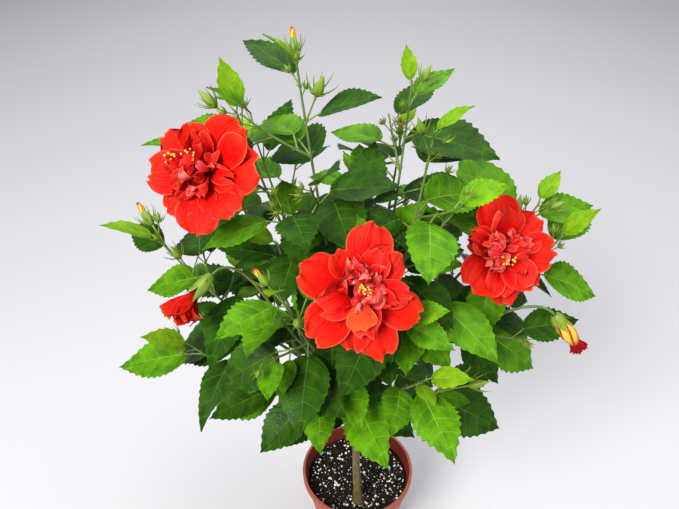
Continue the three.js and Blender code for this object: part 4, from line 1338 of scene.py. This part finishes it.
# each outer petal as its way on a clock face (degrees left round from the right), its
# length as a share of the bloom's radius, its width as a share of that, and its last lean
OUTER_PETALS = {
    "bloom_front": [
        (46, 0.92, 0.76, 80), (80, 1.14, 0.66, 90), (122, 0.84, 0.6, 78), (163, 1.06, 0.72, 92),
        (226, 1.16, 0.66, 98), (264, 1.04, 0.62, 94), (291, 1.2, 0.56, 100), (335, 1.1, 0.6, 96),
    ],
    "bloom_left": [
        (14, 1.12, 0.92, 88), (54, 1.14, 0.82, 84), (104, 0.92, 0.62, 76), (142, 0.96, 0.7, 82),
        (188, 1.02, 0.74, 92), (230, 0.96, 0.7, 96), (268, 1.12, 0.66, 98), (318, 1.0, 0.76, 94),
    ],
    "bloom_right": [
        (36, 1.02, 0.74, 82), (96, 1.14, 0.76, 88), (150, 0.8, 0.62, 82), (216, 1.12, 0.86, 92),
        (264, 1.06, 0.62, 98), (308, 1.0, 0.66, 94), (352, 1.08, 0.74, 88),
    ],
}
OUTER_LEAN, OUTER_RUFFLE, OUTER_CURL = 24, 0.105, 0.5
# inner rings: how many, lean at the claw and at the tip, length, width, ruffle and curl
INNER_RINGS = [(5, 18, 74, 0.9, 0.6, 0.13, 1.2), (6, 8, 54, 0.74, 0.48, 0.17, 1.5)]
HEART_PETALS, FADED_PETALS, TIP_PETALS = 24, 9, 6
# where each bloom's anthers stand out of it, across and up from its middle, and how many
ANTHERS = {
    "bloom_front": [(3, 1, 17), (10, -5, 5)],
    "bloom_left": [(-7, 17, 8), (-24, 9, 7)],
    "bloom_right": [(-1, -9, 15)],
}
ANTHER_SPREAD = 3.2
CUP_OUTLINE = ((-0.02, 0.35), (0.08, 0.8), (0.3, 1.0), (0.55, 1.08), (0.62, 1.02))


def petal_patch(claw, face, turn, lean, length, width, ruffle, curl, draws):
    """One petal: a patch that leaves its claw, bends out and ends in a broad ruffled rim."""
    phases = draws.uniform(0, 2 * np.pi, 6)
    waves, skew, roll = [draws.uniform(*reach) for reach in PETAL_VARIES]
    points, places = [], []
    spot, step = np.array(claw), length / (PETAL_ROWS - 1)
    for i, s in enumerate(np.linspace(0, 1, PETAL_ROWS)):
        angle = math.radians(lerp(*lean, s**0.75)) + 0.1 * math.sin(4 * s + phases[0])
        way = np.array(leaning(face, turn + skew * s, angle))
        side = np.cross(way, np.array(face))
        side /= max(np.linalg.norm(side), 1e-6)
        normal, c, d = np.cross(side, way), math.cos(roll * s), math.sin(roll * s)
        side, normal = side * c + normal * d, normal * c - side * d
        if i:
            spot = spot + way * step
        broad = math.sin(0.5 * math.pi * min(1, s / BROAD_FROM)) ** 1.5
        half = length * width * 0.5 * (CLAW_WIDTH + (1 - CLAW_WIDTH) * broad)
        half *= math.sqrt(1 - 0.72 * max(0, (s - ROUND_FROM) / (1 - ROUND_FROM)) ** 2)
        bent = curl * (1 - 0.75 * s)
        for w in np.linspace(-1, 1, PETAL_COLUMNS):
            wave = ruffle * length * s**2.2 * (
                math.sin(waves * math.pi * w + phases[1]) * (0.35 + 0.65 * abs(w))
                + 0.45 * math.sin(3.1 * math.pi * w + phases[2] + 2 * s)
                + 0.5 * abs(w) ** 2 * math.sin(7 * s + phases[3] + (2.0 if w < 0 else 0))
            )
            frill = 0.03 * math.sin(5 * w + phases[4]) + 0.01 * math.sin(13 * w + phases[5])
            back = length * (s**6 * (0.05 * w * w + frill))
            x = half * math.sin(bent * w) / bent
            rise = half * (1 - math.cos(bent * w)) / bent
            points.append(spot + side * x + normal * (rise + wave) - way * back)
            places.append((0.5 + 0.49 * w, 0.01 + 0.98 * s))
    return points, grid(PETAL_ROWS, PETAL_COLUMNS, outward=False), places


def sepals(bloom, length, radius, flare):
    """The calyx: a ribbed cup with five pointed lobes that back the petals."""
    calyx, face = bloom.calyx, bloom.way
    calyx_heap.put(*ribbed(calyx, face, CUP_OUTLINE, length, radius, 0.05))
    for i in range(5):
        out = leaning(face, 2 * math.pi * i / 5 + 0.3, math.pi / 2)
        side = out.cross(face)
        points, places = [], []
        for s in np.linspace(0, 1, 5):
            centre = calyx + face * (length * (0.5 + 0.62 * s))
            centre = centre + out * (radius * (1.02 + flare * s**1.6))
            half = radius * 0.66 * (1 - s) ** 0.8 + 0.15
            for w in (-1, 0, 1):
                points.append(centre + side * (w * half) - out * (abs(w) * half * 0.35))
                places.append((0.5 + 0.45 * w, 0.5 + 0.48 * s))
        calyx_heap.put(points, grid(5, 3, outward=False), places)


petal_heaps = {name: Heap() for name in ("outer", "inner", "heart", "spoon", "tips")}
filament_heap, anther_heap = Heap(), Heap()


def open_bloom(bloom, draws):
    """Rings of petals round a crumpled heart, and clusters of anthers out of it."""
    face, full, draw = bloom.way, bloom.spread / 2, draws.uniform
    left, up = across(face)
    for clock, long, wide, last_lean in OUTER_PETALS[bloom.name]:
        spin = math.pi - math.radians(clock)
        start = bloom.claws + leaning(face, spin, math.pi / 2) * 3
        lean, size = (OUTER_LEAN + draw(-5, 5), last_lean), long * full
        patch = petal_patch(start, face, spin, lean, size, wide, OUTER_RUFFLE, OUTER_CURL, draws)
        petal_heaps["outer"].put(*patch)
    for count, low, high, long, wide, ruffle, curl in INNER_RINGS:
        for i in range(count):
            spin = 2 * math.pi * (i + draw(-0.3, 0.3)) / count + bloom.seed
            lean = (low + draw(-6, 6), high + draw(-16, 16))
            size, width = long * full * draw(0.8, 1.15), wide * draw(0.8, 1.2)
            start = bloom.claws + leaning(face, spin, math.pi / 2) * 2
            patch = petal_patch(start, face, spin, lean, size, width, ruffle, curl, draws)
            petal_heaps["inner"].put(*patch)
    for i in range(HEART_PETALS):
        spin, out = draw(0, 2 * math.pi), draw(2, 13)
        start = bloom.throat + face * draw(5, 20) + leaning(face, spin, math.pi / 2) * out
        aim = leaning(face, spin + draw(-0.9, 0.9), draw(0.1, 0.9))
        lean = (draw(0, 30), draw(30, 120))
        size, turn = draw(0.26, 0.46) * full, draw(0, 6.3)
        width, curl = draw(0.5, 0.95), draw(0.8, 2.2)
        patch = petal_patch(start, aim, turn, lean, size, width, 0.22, curl, draws)
        layer = "inner" if bloom.name == "bloom_left" and i % 3 else "heart"
        petal_heaps[layer].put(*patch)
    if bloom.name == "bloom_front":
        start = bloom.middle - up * 7 + face * 20
        patch = petal_patch(start, face, -math.pi / 2, (72, 94), 29, 1.0, 0.03, 0.6, draws)
        petal_heaps["spoon"].put(*patch)
    for aside, above, count in ANTHERS[bloom.name]:
        for _ in range(count):
            aside_by = aside + draws.normal(0, ANTHER_SPREAD)
            up_by = above + draws.normal(0, ANTHER_SPREAD)
            spot = bloom.middle - left * aside_by + up * up_by
            top = spot + face * draw(15, 22)
            line = Line(bloom.throat, spot + face * 4, top)
            spots = [line.at(0.45 + 0.55 * j / 3) for j in range(4)]
            thread(filament_heap, spots, [0.5, 0.4, 0.35, 0.3])
            grain = draw(0.9, 1.5)
            anther_heap.put([top + Vector(p) * grain for p in BOSS_POINTS], BOSS_FACES)


def faded_bloom(bloom, draws):
    """A ring of narrow petals that fold together."""
    for i in range(FADED_PETALS):
        spin = 2 * math.pi * i / FADED_PETALS + bloom.seed + draws.uniform(-0.25, 0.25)
        lean = (6 + draws.uniform(0, 8), bloom.opened + draws.uniform(-18, 22))
        size = bloom.spread / 2 * draws.uniform(0.85, 1.15)
        patch = petal_patch(bloom.claws, bloom.way, spin, lean, size, 0.55, 0.14, 1.6, draws)
        petal_heaps["outer"].put(*patch)


def opening_bloom(bloom, draws):
    """A furled flower whose petals part at the tip."""
    face = bloom.way
    tip = bloom.middle + face * (bloom.spread * 0.2 + 1)
    furled(furled_heap, bloom.calyx + face * 6, tip, 8.6)
    for i in range(TIP_PETALS):
        spin = 2 * math.pi * i / TIP_PETALS
        start = tip - face * 15 + leaning(face, spin, math.pi / 2) * 5
        lean = (-5, draws.uniform(8, 38))
        patch = petal_patch(start, face, spin, lean, 20, 0.5, 0.2, 1.0, draws)
        petal_heaps["tips"].put(*patch)


for bloom in blooms:
    kind = open_bloom if bloom.open else opening_bloom if bloom.furled else faded_bloom
    kind(bloom, np.random.default_rng(bloom.seed))
    sepals(bloom, 19 if bloom.furled else 30, 7.5, 0.8 if bloom.open else 0.4)
    foot = bloom.calyx + bloom.way * 2
    whorl(bract_heap, foot, bloom.way, 0.55, BRACT_LENGTH, 1.1, 0.35, bloom.seed)


def petal_finish(name, throat, body, rim, vein, gloss=0.45):
    """Silky petal skin: veins run from claw to rim, and the rim is paler."""
    finish = Finish(name)
    where, across_petal, up = finish.own_map()
    out = finish.maths("ABSOLUTE", across_petal * 2 - 1.0)
    waver = finish.noise(finish.stretch(where, 4, 9, 1), 1.0, 2)
    veins = finish.noise(finish.stretch(where, 46, 2.2, 1), 1.0, 2, 0.4)
    sides = out.between(0.7, 1.0) * up.between(0.2, 0.6)
    edge = finish.maths("MAXIMUM", up.between(0.6, 1.0), sides)
    hem = finish.maths("MAXIMUM", up.between(0.95, 0.985), out.between(0.9, 0.97))
    colour = finish.blend(throat, body, up.between(0.1, 0.5))
    colour = finish.blend(colour, rim, edge * 0.5 + waver.between(0.5, 0.75) * 0.3)
    colour = finish.blend(colour, vein, veins.between(0.52, 0.66) * 0.45)
    colour = finish.blend(colour, (0.9, 0.2, 0.1), hem * 0.34)
    return finish.wear(
        Base_Color=colour,
        Roughness=gloss + waver * 0.15,
        Specular_IOR_Level=0.16,
        Normal=finish.bump(waver * 0.5 - veins, 0.0022, 0.8),
    )


BLOOM_NODES = [bloom.name for bloom in blooms]
OPEN_NODES = [bloom.name for bloom in blooms if bloom.open]
# throat, body, rim and vein colours
PETAL_TONES = {
    "outer": ((0.2, 0.0, 0.002), (0.74, 0.002, 0.001), (0.85, 0.04, 0.006), (0.5, 0.001, 0.001)),
    "inner": ((0.55, 0.0, 0.002), (0.8, 0.003, 0.004), (0.9, 0.06, 0.03), (0.55, 0.001, 0.002)),
    "heart": ((0.72, 0.0, 0.01), (0.92, 0.02, 0.03), (0.96, 0.34, 0.28), (0.75, 0.006, 0.016)),
    "tips": ((0.5, 0.05, 0.012), (0.36, 0.002, 0.01), (0.3, 0.001, 0.008), (0.2, 0.0, 0.006)),
    "spoon": ((0.55, 0.01, 0.004), (0.85, 0.06, 0.012), (0.92, 0.16, 0.03), (0.6, 0.02, 0.004)),
}
for layer, heap in petal_heaps.items():
    finish = petal_finish(f"{layer} petals", *PETAL_TONES[layer])
    settle(heap.piece(), "petals_" + layer, finish, BLOOM_NODES)


def furled_finish():
    """Yellow petals flushed orange, each with a dark red edge, and deeper at the tip."""
    finish = Finish("furled petals")
    where, turn, up = finish.own_map()
    wound = finish.maths("FRACT", turn * 5.0 + up * FURLED_WIND)
    cloud = finish.noise(finish.stretch(where, 30, 4, 1), 1.0, 2)
    flush = wound * 0.4 + cloud * 0.4 - 0.1
    colour = finish.blend((0.66, 0.6, 0.05), (0.82, 0.36, 0.03), flush)
    colour = finish.blend(colour, (0.5, 0.008, 0.01), wound.between(0.62, 0.84))
    colour = finish.blend(colour, (0.42, 0.004, 0.012), (up + cloud * 0.3).between(0.75, 1.1))
    return finish.wear(Base_Color=colour, Roughness=0.5, Specular_IOR_Level=0.25)


settle(furled_heap.piece(), "petals_furled", furled_finish(), ["bloom_opening"])
scarlet = Finish("scarlet threads").wear(Base_Color=(0.7, 0.03, 0.03), Roughness=0.5)
settle(filament_heap.piece(), "stamen_threads", scarlet, OPEN_NODES)
pollen = Finish("pollen")
speckle = pollen.noise(pollen.place(), 900, 2)
yellow = pollen.blend((0.8, 0.42, 0.02), (0.95, 0.7, 0.12), speckle)
yellow = pollen.wear(Base_Color=yellow, Roughness=0.9)
settle(anther_heap.piece(smooth=False), "anthers", yellow, OPEN_NODES)
settle(calyx_heap.piece(), "calyces", calyx_finish(), MASS_NODES + BLOOM_NODES)
light_green = shoot_finish("bud stalks and bracts", (0.12, 0.22, 0.015), (0.24, 0.34, 0.03), 0.5)
settle(bract_heap.piece(), "bracts", light_green, MASS_NODES + BLOOM_NODES)

# ------------------------------------------------------------------ floor, light and camera
# A plain pale table under broad soft light, as in a bright room. The camera looks
# down on the plant from a little above its head.
FLOOR_COLOUR, FLOOR_SIZE, FLOOR_DROP = (0.61, 0.61, 0.635), 12, 0.0005
ROOM_COLOUR, ROOM_STRENGTH = (0.9, 0.9, 0.93, 1), 0.32
CAMERA_PLACE = Vector((-0.02021, -0.59961, 0.95356))
FOCAL, SENSOR = 33.41, 36
PITCH, ROLL = math.radians(34.79), math.radians(-1.19)

deselect()
bpy.ops.mesh.primitive_plane_add(size=FLOOR_SIZE, location=(0, 0, -FLOOR_DROP))
floor = bpy.context.object
floor.name = "floor"
floor.data.materials.append(Finish("pale floor").wear(Base_Color=FLOOR_COLOUR, Roughness=0.85))

world = bpy.data.worlds.new("soft room")
bpy.context.scene.world = world
world.use_nodes = True
sky = world.node_tree.nodes["Background"].inputs
sky["Color"].default_value, sky["Strength"].default_value = ROOM_COLOUR, ROOM_STRENGTH


def lamp(name, place, aim, size, power, colour):
    light = bpy.data.lights.new(name, "AREA")
    light.shape, light.size, light.energy, light.color = "SQUARE", size, power, colour
    holder = bpy.data.objects.new(name, light)
    holder.location = place
    holder.rotation_euler = (Vector(aim) - Vector(place)).to_track_quat("-Z", "Y").to_euler()
    bpy.context.scene.collection.objects.link(holder)


bpy.context.scene.view_settings.view_transform = "Standard"
lamp("window", (-1.3, -1.9, 2.3), (0, 0, 0.5), 1.2, 112, (1, 0.99, 0.96))
lamp("ceiling", (0.6, 0.2, 2.6), (0, 0, 0.5), 1.8, 36, (1, 1, 1))
lamp("far wall", (0, 3.2, 3), (0, 2.4, 0), 2.5, 48, (0.97, 0.97, 1))
lamp("room", (1.9, -1.2, 1.2), (0, 0, 0.5), 1.5, 9, (0.97, 0.98, 1))

lens = bpy.data.cameras.new("camera")
lens.lens, lens.sensor_width = FOCAL, SENSOR
camera = bpy.data.objects.new("camera", lens)
bpy.context.scene.collection.objects.link(camera)
look = Vector((0, math.cos(PITCH), -math.sin(PITCH)))
level = Vector((1, 0, 0))
up = level.cross(look)
across_view = level * math.cos(ROLL) + up * math.sin(ROLL)
up_view = up * math.cos(ROLL) - level * math.sin(ROLL)
turned = Matrix((across_view, up_view, -look)).transposed().to_4x4()
turned.translation = CAMERA_PLACE
camera.matrix_world = turned
bpy.context.scene.camera = camera
